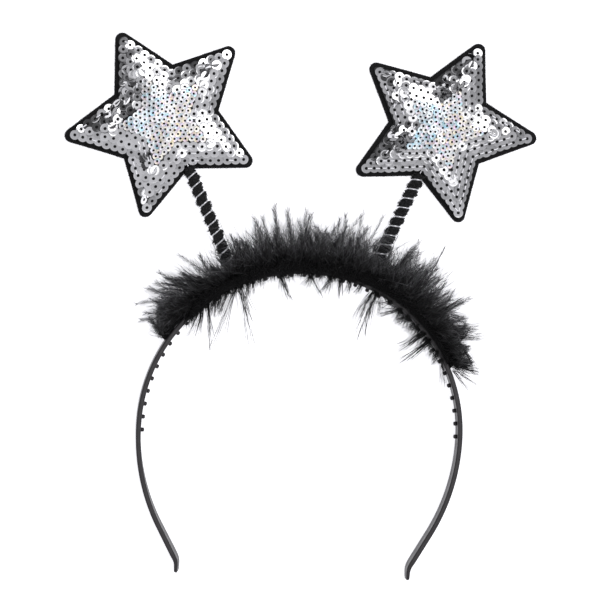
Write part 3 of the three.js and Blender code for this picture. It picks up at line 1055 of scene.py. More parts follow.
def pile_fibres(star, stem):
    """Short fibres that stand out of the core, lean in tufts and are shorter near the wire."""
    rng = np.random.default_rng(star.seed + 1)
    count = FIBRE.count
    run = rng.uniform(FIBRE.margin, pile_run(star) - FIBRE.margin, count)
    turn = rng.uniform(0, TURN, count)
    radius = pile_radius(star, stem, turn, run)
    root = on_stem(stem, radius - FIBRE.root, turn, run + STEM.gap)
    outwards = unit(root - stem.root - np.outer((root - stem.root) @ stem.along, stem.along))
    tuft = np.stack([ripple(root, FIBRE.tuft, star.seed + 20 + axis) for axis in range(3)], axis=-1)
    lean = FIBRE.tuft_lean * tuft + rng.normal(0, FIBRE.lean, (count, 3))
    length = rng.uniform(*FIBRE.lengths, count)
    length = length * (1 + FIBRE.uneven * ripple(root, FIBRE.patch, star.seed + 30))
    length = length * (FIBRE.by_wire + (1 - FIBRE.by_wire) * ease(off_wire(turn, run), *FIBRE.wire_reach))
    bend = rng.normal(0, FIBRE.bend, (count, 3))
    paths = hair_paths(root, unit(outwards + lean), length, bend, steps=3)
    way = (paths - stem.root) @ stem.along
    return hairs(over_felt(star, paths, way), rng.uniform(*FIBRE.radii, count))


def make_stem(star):
    """Pieces of a stem: wire, chenille core and its fibres."""
    side, stem = star.side, STEMS[star.side]
    wire, core = coil_wire(star, stem), pile_core(star, stem)
    fibres, shades = pile_fibres(star, stem)
    new_piece(f"{side}_coil_wire", wire, WIRE, "spring_wire", [f"{side}_spring_wire"])
    new_piece(f"{side}_chenille_core", core, CHENILLE, "chenille", [f"{side}_spring_pile"])
    new_piece(f"{side}_chenille_fibres", fibres, PILE_HAIRS, "chenille", **shades)


# Feather trim

def settled(paths):
    """Hairs kept off the table and out of the stems. A point within a stem's clearance moves straight
    out to it. From the stem's bare run on it moves sideways, so that the stem parts the hairs in front
    of it too."""
    for star in STARS:
        stem = STEMS[star.side]
        away = paths - stem.root
        run = away @ stem.along
        off = away - run[..., None] * stem.along
        distance = np.linalg.norm(off, axis=-1)
        aside = away @ stem.across
        near = (run > -STEM.behind_root) & (run < star.stem_length)
        push = np.where(near, np.maximum(STEM.clearance - distance, 0), 0)
        parting = np.where(near, np.maximum(STEM.clearance - np.abs(aside), 0), 0)
        parting = parting * ease(run, star.bare, star.bare + STEM.parting) * np.sign(aside)
        paths = paths + unit(off) * push[..., None] + stem.across * parting[..., None]
    paths[..., 2] = np.maximum(paths[..., 2], TRIM.off_table)
    return paths


def fan(rng, layer):
    """Feathers spread along the trim. A feather points out of the crown, turned along it by the fan's
    turn, by a lean that its clump shares and by a random part, and rises towards the front. Its length
    is a share of an ellipse between the reach beyond the band and the reach to the front, longer or
    shorter by its clump. The more it rises, the less its tip counts as lying far out, and the less
    painted light the hair finish gives it."""
    count = layer.count
    share = (np.arange(count) + rng.uniform(0, 1, count)) / count
    angle = TRIM.start + (TRIM.end - TRIM.start) * share
    low, high = np.radians(layer.rises)
    high = np.minimum(high, np.interp(angle, FAN.angle, FAN.most_rise))
    rise = low + (high - low) * rng.uniform(0, 1, count)
    spot = np.stack([angle * BAND.outer_radius, rise * TRIM.front_reach], axis=-1)
    lean = CLUMP.lean * ripple(spot, CLUMP.length, CLUMP.lean_seed)
    longer = 1 + CLUMP.longer * ripple(spot, CLUMP.longer_length, CLUMP.longer_seed)
    turn = np.interp(angle, FAN.angle, FAN.turn) + lean + rng.normal(0, layer.scatter, count)
    ahead = heading(angle + turn)
    direction = ahead * np.cos(rise)[:, None] + UP * np.sin(rise)[:, None]
    out = longer * np.interp(angle, FAN.angle, FAN.reach) / np.maximum(np.cos(turn), TRIM.least_cosine)
    ellipse = np.hypot(np.cos(rise) / out, np.sin(rise) / TRIM.front_reach)
    length = rng.uniform(*layer.lengths, count) / ellipse
    root_out = rng.uniform(*TRIM.root_out, count)
    root = beside_crown(angle, root_out, TRIM.root_height + rng.uniform(*TRIM.root_rise, count))
    droop = (ahead * TRIM.droop_out - UP * TRIM.droop_back) * np.maximum(np.sin(rise), 0)[:, None]
    outer = TRIM.front_shade + (1 - TRIM.front_shade) * np.maximum(np.cos(rise), 0)
    return Sizes(root=root, direction=direction, length=length, droop=droop, outer=outer)


def plume_barbs(layer):
    """Marabou plumes. A shaft is a parabola from the band. Barbs leave it by turns on its two sides, at
    an angle that closes towards the tip, shorten towards the tip and curve forwards."""
    rng = np.random.default_rng(layer.seed)
    many = (layer.count, layer.barbs)
    fans = fan(rng, layer)
    bend = fans.droop + rng.normal(0, BARB.shaft_bend, (layer.count, 3))
    shafts = hair_paths(fans.root, fans.direction, fans.length, bend, steps=7)
    number = np.arange(layer.barbs)
    share = (BARB.first + (1 - BARB.first) * number / (layer.barbs - 1))[None, :, None]
    way = fans.direction[:, None] * share + bend[:, None] * share**2
    base = fans.root[:, None] + fans.length[:, None, None] * way
    ahead = unit(fans.direction[:, None] + 2 * bend[:, None] * share)
    facing = UP + rng.normal(0, BARB.facing, (layer.count, 3))
    flat = unit(np.cross(fans.direction, facing))[:, None]
    side = np.where(number % 2, 1.0, -1.0)[None, :, None]
    opening = np.radians(BARB.open_root + (BARB.open_tip - BARB.open_root) * share)
    opening = opening * rng.uniform(*BARB.openings, (*many, 1))
    leave = ahead * np.cos(opening) + side * flat * np.sin(opening)
    leave = unit(leave + rng.normal(0, BARB.stray, (*many, 3)))
    size = layer.width * (1 - BARB.shorten * share[..., 0]) * rng.uniform(*BARB.lengths, many)
    curve = ahead * BARB.curve + rng.normal(0, BARB.curl, (*many, 3))
    base, leave, curve = (part.reshape(-1, 3) for part in (base, leave, curve))
    paths = hair_paths(base, leave, size.ravel(), curve, steps=4)
    starts = (BARB.root_shade * fans.outer[:, None] * share[..., 0]).ravel()
    ends = np.repeat(fans.outer, layer.barbs)
    return joined_hairs(
        hairs(settled(shafts), rng.uniform(*BARB.shaft_radii, layer.count), end=fans.outer),
        hairs(settled(paths), rng.uniform(*BARB.radii, len(paths)), starts, ends),
    )


def down_fluff(layer):
    """Down close to the band: short curly hairs that start part of the way out."""
    rng = np.random.default_rng(layer.seed)
    fans = fan(rng, layer)
    start = fans.length * rng.uniform(*layer.starts, layer.count)
    root = fans.root + fans.direction * start[:, None]
    bend = fans.droop * layer.droop + rng.normal(0, layer.bend, (layer.count, 3))
    paths = hair_paths(root, fans.direction, fans.length - start, bend, steps=4)
    first = start / fans.length * fans.outer
    return hairs(settled(paths), rng.uniform(*layer.radii, layer.count), first, fans.outer)


def stray_wisps(layer):
    """Long single barbs that reach past the dense down."""
    rng = np.random.default_rng(layer.seed)
    fans = fan(rng, layer)
    bend = fans.droop + rng.normal(0, layer.bend, (layer.count, 3))
    paths = hair_paths(fans.root, fans.direction, fans.length, bend, steps=8)
    return hairs(settled(paths), rng.uniform(*layer.radii, layer.count))


def loose_bunches():
    """Bunches of loose barbs, each in three locks. The direction of a barb turns evenly along it, so its
    points are the running sum of its direction. It leaves the band a little forwards and droops with
    the square of the way."""
    rng = np.random.default_rng(LOOSE.seed)
    many = np.ceil(BUNCHES[:, -1] * LOOSE.thicker).astype(int)
    rows = np.repeat(BUNCHES, many, axis=0)
    count = len(rows)
    angle, out, hang, reach, spread, curl = rows.T[:6]
    z = BAND.width + rng.uniform(*LOOSE.root_rise, count)
    angle = np.radians(angle) + rng.normal(0, LOOSE.root_angle, count)
    root = beside_crown(angle, out + rng.normal(0, LOOSE.root_out, count), z)
    t = np.linspace(0, 1, LOOSE.steps)
    lock = rng.integers(-1, 2, count)
    start = hang + spread * (LOOSE.lock * lock + rng.normal(0, LOOSE.stray, count))
    bow = curl + LOOSE.lock_curl * lock + rng.normal(0, LOOSE.curl, count)
    turn = start[:, None] + bow[:, None] * t
    length = reach * (LOOSE.longest - LOOSE.shorter * rng.uniform(0, 1, count) ** LOOSE.short_power)
    steps = heading(np.radians(turn)) * (length / (len(t) - 1))[:, None, None]
    paths = root[:, None] + np.cumsum(steps, axis=1) - steps
    paths[..., 2] = z[:, None] + length[:, None] * (LOOSE.lift * t - LOOSE.droop * t * t)
    return hairs(settled(paths), rng.uniform(*LOOSE.radii, count), end=LOOSE.shade)


def front_fringe():
    """Short hairs along the inner edge of the band, longer and shorter in turns, that hang between
    straight in and towards the feet."""
    rng = np.random.default_rng(FRINGE.seed)
    front = rng.uniform(*FRINGE.front, FRINGE.front_count)
    angle = np.radians(np.append(front, rng.uniform(*FRINGE.behind, FRINGE.behind_count)))
    count = len(angle)
    behind = np.arange(count) >= FRINGE.front_count
    out = np.where(behind, -BAND.thickness, rng.uniform(*FRINGE.front_out, count))
    behind_rise = rng.uniform(*FRINGE.behind_rise, count)
    z = BAND.width + np.where(behind, behind_rise, rng.uniform(*FRINGE.front_rise, count))
    root = beside_crown(angle, out, z)
    quick, slow = FRINGE.waves
    turns = 0.5 + 0.5 * np.sin(quick * angle) * np.sin(slow * angle + 1)
    full = np.interp(angle, FRINGE.angle, FRINGE.length)
    length = full * rng.uniform(*FRINGE.shares, count) ** FRINGE.short_power * (FRINGE.between + turns)
    inward = np.interp(angle, FRINGE.angle, FRINGE.inward)[:, None]
    aside = heading(angle + TURN / 4) * rng.normal(0, FRINGE.aside, (count, 1))
    way = aside - inward * heading(angle) - (FRINGE.pull - inward) * heading(0)
    bend = rng.normal(0, FRINGE.bend, (count, 3)) - UP * FRINGE.droop
    paths = hair_paths(root, unit(way), length, bend, steps=4)
    return hairs(settled(paths), rng.uniform(*FRINGE.radii, count), end=FRINGE.shade)


def heart_place(part, share, turn):
    """Place on a dense part of the trim, at a share of its length and a turn round it, and the middle of
    it there: an ellipse carried along the crown, in step with the fan's reach, rounded off at both ends
    and bumpy."""
    angle = np.radians(part.start + (part.end - part.start) * share)
    reach = np.interp(angle, FAN.angle, FAN.reach) / FAN.reach.max()
    size = rounded_end(np.minimum(share, 1 - share), part.taper)
    size = size * (HEART.least + (1 - HEART.least) * reach)
    out = part.inner + part.width * size
    middle = beside_crown(angle, out, part.z)
    z = part.z + part.height * size * np.sin(turn)
    place = beside_crown(angle + 0 * turn, out + part.width * size * np.cos(turn), z)
    bumps = np.clip(ripple(place, HEART.bump_length, HEART.bump_seed), -1, 1)
    return middle + (place - middle) * (1 - HEART.bump + HEART.bump * bumps)[..., None], middle


def heart(part):
    """Dense part of the trim as a closed skin."""
    share = np.linspace(0, 1, HEART.rows)[:, None]
    return lofted(heart_place(part, share, full_turn(HEART.sides)[None])[0])


def heart_cover():
    """Short hairs on the front of the dense parts, that lean outwards and along the crown."""
    rng = np.random.default_rng(COVER.seed)
    count = COVER.count
    covers = []
    for part in HEARTS:
        share = rng.uniform(*COVER.shares, count)
        place, middle = heart_place(part, share, np.radians(rng.uniform(*COVER.turns, count)))
        out = unit((place - ARCH) * [1, 1, 0])
        lean = out * rng.uniform(*COVER.outwards, (count, 1))
        lean = lean + np.cross(UP, out) * rng.normal(0, COVER.along, (count, 1))
        way = unit(COVER.stand * unit(place - middle) + lean)
        bend = rng.normal(0, COVER.bend, (count, 3)) - UP * COVER.droop
        length = rng.uniform(*COVER.lengths, count)
        paths = hair_paths(place - COVER.root * way, way, length, bend, steps=3)
        covers.append(hairs(settled(paths), rng.uniform(*COVER.radii, count), end=COVER.shade))
    return joined_hairs(*covers)


def make_trim():
    """Pieces of the trim: its dense parts as one, and the layers of hairs on them."""
    shape = joined(*(heart(part) for part in HEARTS))
    new_piece("marabou_heart", shape, DOWN, "feather", ["feather_trim"])
    hair_pieces = {name: plume_barbs(layer) for name, layer in PLUMES.items()}
    hair_pieces["marabou_down"] = down_fluff(DOWN_HAIR)
    hair_pieces["marabou_bunches"] = loose_bunches()
    hair_pieces["marabou_wisps"] = stray_wisps(WISP)
    hair_pieces["marabou_fringe"] = front_fringe()
    hair_pieces["marabou_cover"] = heart_cover()
    for name, (hair_shape, shades) in hair_pieces.items():
        new_piece(name, hair_shape, BARBS, "feather", **shades)


# Stars

def star_sizes(star, inset):
    """Outline moved inwards: slope of the arms' sides to their axis, radius of the notches, middle
    and radius of the tips. Once the tips' rounding is used up, a tip is the crossing of its sides."""
    half = np.pi / STAR.arms
    middle = star.tip_radius - STAR.tip_round
    along = middle - star.notch_radius * np.cos(half)
    across = star.notch_radius * np.sin(half)
    slope = np.arctan2(across, along) - np.arcsin(STAR.tip_round / np.hypot(along, across))
    notch = star.notch_radius - inset / np.sin(slope + half)
    beyond = np.maximum(inset - STAR.tip_round, 0)
    tip = Sizes(middle=middle - beyond / np.sin(slope), radius=np.maximum(STAR.tip_round - inset, 0))
    return Sizes(half=half, slope=slope, notch=notch, tip=tip)


def arm_axes():
    """Angles of the arms' axes in a star's own plane, counter-clockwise from +Y."""
    return TURN / 4 + full_turn(STAR.arms)


def star_outline(star, inset):
    """Outline of a star, counter-clockwise from a notch: one arm's side, tip arc and side, turned
    to each arm's axis."""
    sizes = star_sizes(star, inset)
    notch = sizes.notch * on_circle(sizes.half)
    turn = np.linspace(-1, 1, STAR.tip_steps + 1) * (TURN / 4 - sizes.slope)
    arc = sizes.tip.radius * on_circle(turn)
    arc[:, 0] += sizes.tip.middle
    share = (np.arange(STAR.side_parts) / STAR.side_parts)[:, None]
    side = notch + (arc[-1] - notch) * share
    before = side * [1, -1]
    after = side[:0:-1]
    return turned(np.concatenate([before, arc, after]), arm_axes()).reshape(-1, 2)


def edge_distance(star, points, inset):
    """Distance of points in the plane from the outline moved inwards. All arms are alike, so a point is
    folded onto half an arm, where the outline is one straight side and half a tip arc."""
    sizes = star_sizes(star, inset)
    radius = np.hypot(points[..., 0], points[..., 1])
    angle = np.arctan2(points[..., 1], points[..., 0]) - TURN / 4
    folded = np.abs((angle + sizes.half) % (2 * sizes.half) - sizes.half)
    spot = radius[..., None] * on_circle(folded)
    start = sizes.notch * on_circle(sizes.half)
    middle = np.array([sizes.tip.middle, 0])
    end = middle + sizes.tip.radius * np.array([np.sin(sizes.slope), np.cos(sizes.slope)])
    side = end - start
    share = ((spot - start) @ side) / (side @ side)
    nearest = start + np.clip(share, 0, 1)[..., None] * side
    to_side = np.linalg.norm(spot - nearest, axis=-1)
    to_arc = sizes.tip.radius - np.linalg.norm(spot - middle, axis=-1)
    inside = side[0] * (spot - start)[..., 1] - side[1] * (spot - start)[..., 0] < 0
    distance = np.where(share > 1, to_arc, np.where(inside | (share < 0), to_side, -to_side))
    return np.maximum(distance, 0)


def pad_height(star, points):
    """Height of the padding: a parabola over the distance from its edge, averaged over a small
    circle so that its crests are round, with a broad unevenness of the stuffing."""
    circle = PAD.blur * np.concatenate([np.zeros((1, 2)), on_circle(full_turn(PAD.blur_points))])
    distance = edge_distance(star, points[..., None, :] + circle, STAR.border)
    inwards = 1 - np.minimum(distance / PAD.reach, 1)
    rise = PAD.rise * (1 - inwards * inwards).mean(axis=-1)
    edge = ease(edge_distance(star, points, STAR.border), 0, PAD.sway_edge)
    return PAD.base + PAD.rim + rise + PAD.sway * edge * ripple(points, PAD.sway_length, star.seed)


def pulled(star, points):
    """Points of a star's plane moved by the pulls of the two arms beside them. An arm's share is the
    squared cosine of the turn from its axis, and grows with the square of the distance out."""
    reach = np.hypot(points[..., 0], points[..., 1]) / star.tip_radius
    turn = np.arctan2(points[..., 1], points[..., 0])[..., None] - arm_axes()
    away = np.abs((turn + TURN / 2) % TURN - TURN / 2) * STAR.arms / TURN
    share = np.cos(TURN / 4 * np.minimum(away, 1)) ** 2 * (reach**2)[..., None]
    return points + share @ star.pulls


def on_table(star, points, z):
    """Points of a star's own plane, with +Y away from its stem, set in place at a height."""
    stem = STEMS[star.side]
    centre = stem.notch + heading(star.star_lean) * star.notch_radius
    flat = turned(pulled(star, points).reshape(-1, 2), -star.star_lean)[0].reshape(points.shape)
    return np.stack([flat[..., 0] + centre[0], flat[..., 1] + centre[1], z + 0 * flat[..., 0]], axis=-1)


def felt_star(star):
    """Felt: the outline at small insets down, round and up its edge, like a profile carried round it,
    and a scaled copy near the middle on each face."""
    turn = np.linspace(-TURN / 4, TURN / 4, STAR.felt_steps)
    insets = STAR.felt_round * (1 - np.cos(turn))
    middle = np.where(turn < 0, STAR.felt_round, STAR.felt - STAR.felt_round)
    heights = middle + STAR.felt_round * np.sin(turn)
    rings = [on_table(star, star_outline(star, inset), z) for inset, z in zip(insets, heights)]
    inner = star_outline(star, 0) * STAR.inner_copy
    return lofted(np.stack([on_table(star, inner, 0.0), *rings, on_table(star, inner, STAR.felt)]))


def felt_fuzz(star):
    """Loose fibres at the felt's edge: short hairs round the outline, most of them lying along it."""
    rng = np.random.default_rng(star.seed + 2)
    count = FUZZ.count
    outline = star_outline(star, FUZZ.inset)
    step = np.roll(outline, -1, axis=0) - outline
    length = np.linalg.norm(step, axis=1)
    place = rng.choice(len(outline), count, p=length / length.sum())
    step, along = step[place], step[place] / length[place][:, None]
    spot = outline[place] + step * rng.uniform(0, 1, (count, 1))
    out = np.stack([along[:, 1], -along[:, 0]], axis=-1)
    tip = spot + out * rng.uniform(*FUZZ.outwards, (count, 1))
    tip = tip + along * rng.normal(0, FUZZ.along, (count, 1))
    z = rng.uniform(FUZZ.lowest, STAR.felt, count)
    root = on_table(star, spot, z)
    rise = rng.normal(0, FUZZ.rise, count)
    reach = on_table(star, tip, np.maximum(z + rise, FUZZ.lowest_tip)) - root
    size = np.linalg.norm(reach, axis=1)
    paths = hair_paths(root, unit(reach), size, rng.normal(0, FUZZ.bend, (count, 3)), steps=3)
    paths[..., 2] = np.maximum(paths[..., 2], FUZZ.off_table)
    return hairs(paths, rng.uniform(*FUZZ.radii, count))


def pad_star(star):
    """Padding: scaled copies of its outline, each point lifted to just under the sequins' seat."""
    outline = star_outline(star, STAR.border)
    share = 1 - np.linspace(0, 1, PAD.rows) ** PAD.crowding * PAD.covered
    spots = outline[None] * share[:, None, None]
    under = np.maximum(pad_height(star, spots) - PAD.drop, PAD.base + PAD.least)
    rings = on_table(star, spots, under)
    foot = on_table(star, outline, PAD.base)
    return lofted(np.concatenate([foot[None], rings]))


def row_places(star, inset, spacing, push):
    """Places of a row of sequins: evenly spaced from each notch to the tip and back along the outline
    moved inwards, whose tips are pushed out a little, with the direction of the row."""
    sizes = star_sizes(star, inset)
    notch = sizes.notch * on_circle(-sizes.half)
    tip = np.array([sizes.tip.middle + sizes.tip.radius + push, 0])
    count = max(int(round(np.linalg.norm(tip - notch) / spacing)), 1)
    share = (np.arange(count) / count)[:, None]
    up_side = notch + (tip - notch) * share
    down_side = tip + (notch * [1, -1] - tip) * share
    way = unit(tip - notch)
    ways = np.repeat([way, way * [-1, 1]], count, axis=0)
    places = turned(np.concatenate([up_side, down_side]), arm_axes()).reshape(-1, 2)
    return places, turned(ways, arm_axes()).reshape(-1, 2)


def pad_normal(star, points, step=0.4):
    """Upward normal of the padding from the differences of its height to each side."""
    slope = [
        (pad_height(star, points + step * axis) - pad_height(star, points - step * axis)) / (2 * step)
        for axis in np.eye(2)
    ]
    return unit(np.stack([-slope[0], -slope[1], np.ones(len(points))], axis=-1))


def row_step(star, kind):
    """Spacing along a row."""
    return kind.spacing * (star.closeness if kind.own else 1)


def sequin_places(star, kind):
    """Rows of a kind of sequin, and rosettes of one on each arm's axis at a radius, or a single one in
    the middle: places and row directions in the star's plane, and which are of the rows between."""
    insets = [inset + kind.own * star.seam for inset in kind.insets + kind.loose]
    push = DISC.tip_push * kind.own * star.seam
    rows = [row_places(star, inset, row_step(star, kind), push) for inset in insets]
    spokes = on_circle(arm_axes())
    for radius in kind.rosette:
        kept = spokes if radius else spokes[:1]
        rows.append((kept * radius, turned(kept, TURN / 4)[0]))
    number = np.repeat(np.arange(len(rows)), [len(places) for places, _ in rows])
    between = (number >= len(kind.insets)) & (number < len(insets))
    return *(np.concatenate(part) for part in zip(*rows)), between


def ruffle(star, spots, facing):
    """How far sequins are out of order, from 0 to 1: in patches, and mostly where the padding faces
    one way, up and to the left."""
    patch = RUFFLE.patch_share * ripple(spots, RUFFLE.patch, star.seed + 5)
    aimed = RUFFLE.way_share * (facing @ unit(np.array(RUFFLE.way)))
    return ease(patch + aimed, RUFFLE.start, RUFFLE.full)


def sequin_discs(star, kind):
    """Discs with a hole, flat within and cupped at the rim: a ring of five-cornered section on the
    padding. A disc lies flatter than the padding, leans along its row, so that each laps over the one
    before it, and by chance, more so where the sequins are ruffled. Gives the shape, each disc's own
    axes and centre, its place in the star's plane and which way the padding faces there."""
    rng = np.random.default_rng(star.seed + len(kind.insets))
    spots, ways, between = sequin_places(star, kind)
    spots = spots + rng.normal(0, DISC.scatter, spots.shape)
    slope = pad_normal(star, spots)
    facing = turned(slope[:, :2], -star.star_lean)[0]
    loose = kind.own * ruffle(star, spots, facing)
    kept = ~between | (loose > RUFFLE.loose)
    spots, ways, slope, facing, loose = (part[kept] for part in (spots, ways, slope, facing, loose))
    way = np.concatenate([ways, np.zeros((len(ways), 1))], axis=1)
    spread = DISC.tilt + RUFFLE.tilt * loose
    lean = slope * [DISC.lie, DISC.lie, 1] - way * kind.lap
    normal = unit(lean + rng.normal(size=slope.shape) * spread[:, None])
    first = unit(way - normal * (way * normal).sum(axis=1, keepdims=True))
    second = np.cross(normal, first)
    lift = kind.lift + rng.uniform(0, DISC.lift_spread, len(spots))
    centre = np.concatenate([spots, (pad_height(star, spots) + lift)[:, None]], axis=1)
    turn = full_turn(DISC.sides)[:, None]
    half = kind.thickness / 2
    section = np.array(
        [
            (kind.hole, half),
            (kind.hole, -half),
            (kind.radius, kind.cup - half),
            (kind.radius, kind.cup + half),
            (kind.radius * DISC.flat_share, half),
        ]
    )
    flat = first[:, None, None] * np.cos(turn) + second[:, None, None] * np.sin(turn)
    rings = centre[:, None, None] + section[:, :1, None] * flat
    rings = rings + section[:, 1:, None] * normal[:, None, None]
    copies, rows, columns = rings.shape[:3]
    points = rings.reshape(-1, 3)
    points = on_table(star, points[:, :2], points[:, 2])
    shape = points, [copied(grid_quads(rows, columns, True), copies, rows * columns)]
    discs = Sizes(centre=centre, first=first, second=second, normal=normal, spots=spots, facing=facing)
    discs.points_each = rows * columns
    return shape, discs


def needle_holes(star, discs, kind):
    """Dark bottom of each hole: a small plug just below the face of its disc."""
    turn = full_turn(HOLE.sides)[:, None]
    ring = discs.first[:, None] * np.cos(turn) + discs.second[:, None] * np.sin(turn)
    level = np.array(HOLE.levels)[None, :, None, None] * kind.thickness
    rings = discs.centre[:, None, None] + HOLE.wider * kind.hole * ring[:, None]
    rings = rings + level * discs.normal[:, None, None]
    return lofted(on_table(star, rings[..., :2], rings[..., 2]))


def with_alpha(colours):
    """Colours of points as one row each, with a fourth channel of ones."""
    flat = colours.reshape(-1, 3)
    return np.concatenate([flat, np.ones((len(flat), 1))], axis=1)


def silver_tint(star, discs):
    """Silver, a little brighter or darker from disc to disc, the same for all points of a disc, within
    its star's range, which is set lower on the right star as painted shade.
    """
    rng = np.random.default_rng(star.seed + 6)
    shade = rng.uniform(*star.silver, (len(discs.spots), 1))
    return with_alpha(np.repeat(shade * COOL_WHITE, discs.points_each, axis=0))


def rainbow_tint(star, discs):
    """Rainbow film: near white, with a tint that runs through the film's colours from one side of the
    star to the other, in patches, jumps from disc to disc and swings to and fro once round a disc."""
    rng = np.random.default_rng(star.seed + 7)
    count = len(discs.spots)
    # The star's film shade is lower on the right star: painted shade.
    shade, shift = star.film
    across = turned(discs.spots, -star.star_lean)[0] @ unit(np.array(FILM.way))
    step = shift + FILM.first + FILM.across * ease(across, -FILM.half_width, FILM.half_width)
    step = step + FILM.patch_step * ripple(discs.spots, FILM.patch, star.seed + 8)
    step = step + rng.normal(0, FILM.jump, count)
    turn = full_turn(DISC.sides) + rng.uniform(0, TURN, (count, 1))
    step = step[:, None] + FILM.swing * np.cos(turn)
    colours = np.arange(len(FILM_TINTS))
    pure = np.stack([np.interp(step, colours, channel) for channel in FILM_TINTS.T], axis=-1)
    patch = ease(ripple(discs.spots, FILM.pale_patch, star.seed + 10), *FILM.pale_range)
    strength = rng.uniform(*FILM.strengths, count) * (FILM.pale + (1 - FILM.pale) * patch)
    strength = strength[:, None] * (1 - FILM.flicker + FILM.flicker * np.sin(2 * turn))
    strength = strength[..., None]
    tints = shade * rng.uniform(*FILM.shades, (count, 1, 1)) * (1 - strength + strength * pure)
    return with_alpha(np.repeat(tints[:, None], discs.points_each // DISC.sides, axis=1))


def stitches(star, discs, kind):
    """Thread: from the edge of a hole a short bow over the disc along its row to the next hole. It shows
    on the star's own share of the discs whose padding faces the feet of the band, and on few others."""
    rng = np.random.default_rng(star.seed + 9)
    shown = np.where(discs.facing[:, 1] < STITCH.facing_feet, star.thread_shown, STITCH.elsewhere)
    kept = rng.uniform(0, 1, len(shown)) < shown
    t = np.linspace(0, 1, STITCH.steps)
    run = (kind.hole + t * (row_step(star, kind) - 2 * kind.hole))[None, :, None]
    bow = (STITCH.lift + STITCH.bow * np.sin(np.pi * t))[None, :, None]
    paths = discs.centre[kept, None] + discs.first[kept, None] * run + discs.normal[kept, None] * bow
    return tubes(on_table(star, paths[..., :2], paths[..., 2]), STITCH.radius, UP, STITCH.sides)


def make_star(star):
    """Pieces of a star: felt and its fuzz, padding, both kinds of sequins, needle holes and stitches."""
    side = star.side
    felt = new_piece(f"{side}_felt_star", felt_star(star), FELT, "felt", [f"{side}_star_backing"])
    outline = pulled(star, star_outline(star, 0))
    fuzz, shades = felt_fuzz(star)
    new_piece(f"{side}_felt_fuzz", fuzz, PILE_HAIRS, "felt", **shades)
    pad = new_piece(f"{side}_star_padding", pad_star(star), CLOTH, "sequin_front", [f"{side}_star_pad"])
    discs, holes = {}, []
    for kind, finish, tint in ((SILVER, SILVER_FILM, silver_tint), (RAINBOW, RAINBOW_FILM, rainbow_tint)):
        shape, own = sequin_discs(star, kind)
        name = f"{side}_{kind.name}_sequins"
        new_piece(name, shape, finish, "sequin_front", smooth=False, tint=tint(star, own))
        discs[kind.name] = own
        holes.append(needle_holes(star, own, kind))
    new_piece(f"{side}_needle_holes", joined(*holes), FELT, "sequin_front")
    thread = stitches(star, discs[SILVER.name], SILVER)
    new_piece(f"{side}_silver_stitches", thread, THREAD, "sequin_front")


# Stage

def make_floor():
    """Pale floor just under the headband, lit a little from within."""
    half, drop = 3.0, -0.0002
    material, tree, shader, place = new_finish("pale_floor")
    noise = put(tree, "ShaderNodeTexNoise", Vector=place, Scale=3.0)
    ramp = put(tree, "ShaderNodeValToRGB", Fac=noise.outputs["Fac"])
    for element, value in zip(ramp.color_ramp.elements, (0.93, 0.95)):
        element.color = (value, value, value, 1.0)
    fill(tree, shader, Base_Color=ramp.outputs["Color"], Roughness=0.9, Specular_IOR_Level=0.1)
    fill(tree, shader, Emission_Color=grey(1.0), Emission_Strength=0.75)
    mesh = bpy.data.meshes.new("floor")
    corners = [(-half, -half, drop), (half, -half, drop), (half, half, drop), (-half, half, drop)]
    mesh.from_pydata(corners, [], [(0, 1, 2, 3)])
    mesh.materials.append(material)
    floor = bpy.data.objects.new("floor", mesh)
    bpy.context.collection.objects.link(floor)


def look_from(item, place, aim, roll=0.0):
    """Item at a place in metres, facing the aim, with its top leaning by the roll."""
    back = unit(np.array(place) - np.array(aim))
    top = np.array([-np.sin(roll), np.cos(roll), 0.0])
    right = unit(np.cross(top, back))
    over = np.cross(back, right)
    matrix = np.eye(4)
    matrix[:3] = np.stack([right, over, back, place], axis=1)
    item.matrix_world = Matrix(matrix)


def make_light(name, place, size, power):
    """Square soft box that faces the headband."""
    light = bpy.data.lights.new(name, "AREA")
    light.shape = "SQUARE"
    light.size = size
    light.energy = power
    item = bpy.data.objects.new(name, light)
    bpy.context.collection.objects.link(item)
    look_from(item, place, (0, 0, 0))


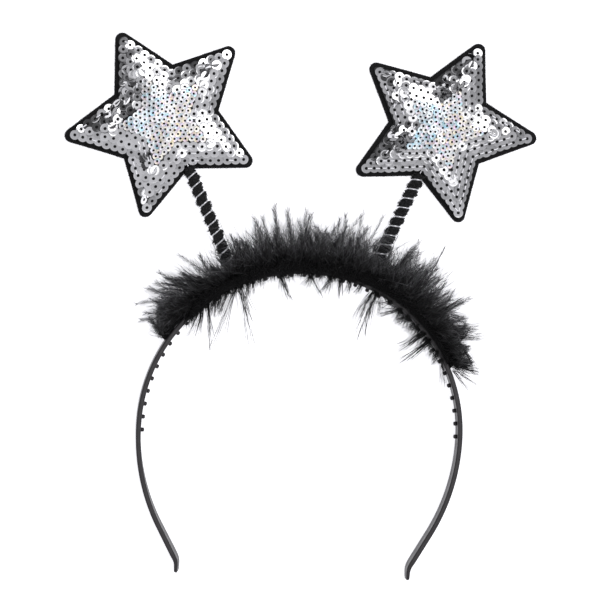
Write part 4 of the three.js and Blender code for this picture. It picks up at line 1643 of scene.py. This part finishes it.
def make_world():
    """Studio: pale overhead and dark at the horizon, with a dark corner behind the headband's left."""
    world = bpy.data.worlds.new("studio")
    world.use_nodes = True
    tree = world.node_tree
    background = next(n for n in tree.nodes if n.type == "BACKGROUND").inputs
    sky = put(tree, "ShaderNodeTexCoord").outputs["Generated"]
    up = put(tree, "ShaderNodeSeparateXYZ", Vector=sky).outputs["Z"]
    smooth = {"interpolation_type": "SMOOTHSTEP"}
    height = put(tree, "ShaderNodeMapRange", smooth, Value=up, From_Min=0.1, To_Min=0.12, To_Max=0.72)
    toward = put(tree, "ShaderNodeVectorMath", {"operation": "DOT_PRODUCT"})
    feed(tree, toward.inputs[0], sky)
    feed(tree, toward.inputs[1], unit(np.array([-0.36, 0.47, 0.8])))
    near = toward.outputs["Value"]
    corner = {"From_Min": 0.88, "From_Max": 0.97, "To_Min": 1.0, "To_Max": 0.12}
    shade = put(tree, "ShaderNodeMapRange", smooth, Value=near, **corner)
    strength = reckoned(tree, "MULTIPLY", height.outputs["Result"], shade.outputs["Result"])
    fill(tree, background, Color=grey(1.0), Strength=strength)
    bpy.context.scene.world = world


def make_camera():
    """Camera above the front of the headband, a little from its left and top, slightly rolled."""
    distance, field, sensor = 1.0317, 0.2387, 36.0
    aim = np.array([1.886, 2.907, 4.0]) * MM
    back = unit(np.array([-0.0865, 0.0556, 1.0]))
    roll = np.radians(2.71)
    data = bpy.data.cameras.new("camera")
    data.sensor_width = sensor
    data.lens = sensor * distance / field
    camera = bpy.data.objects.new("camera", data)
    bpy.context.collection.objects.link(camera)
    look_from(camera, aim + back * distance, aim, roll)
    bpy.context.scene.camera = camera


STEMS = {star.side: stem_frame(star) for star in STARS}
make_camera()
make_floor()
make_world()
make_light("key_box", place=(0.48, 0.58, 1.3), size=0.72, power=5.0)
make_light("top_box", place=(0.15, -0.1, 1.8), size=0.7, power=2.2)
bpy.context.scene.view_settings.view_transform = "Standard"
make_band()
make_trim()
for star in STARS:
    make_stem(star)
    make_star(star)
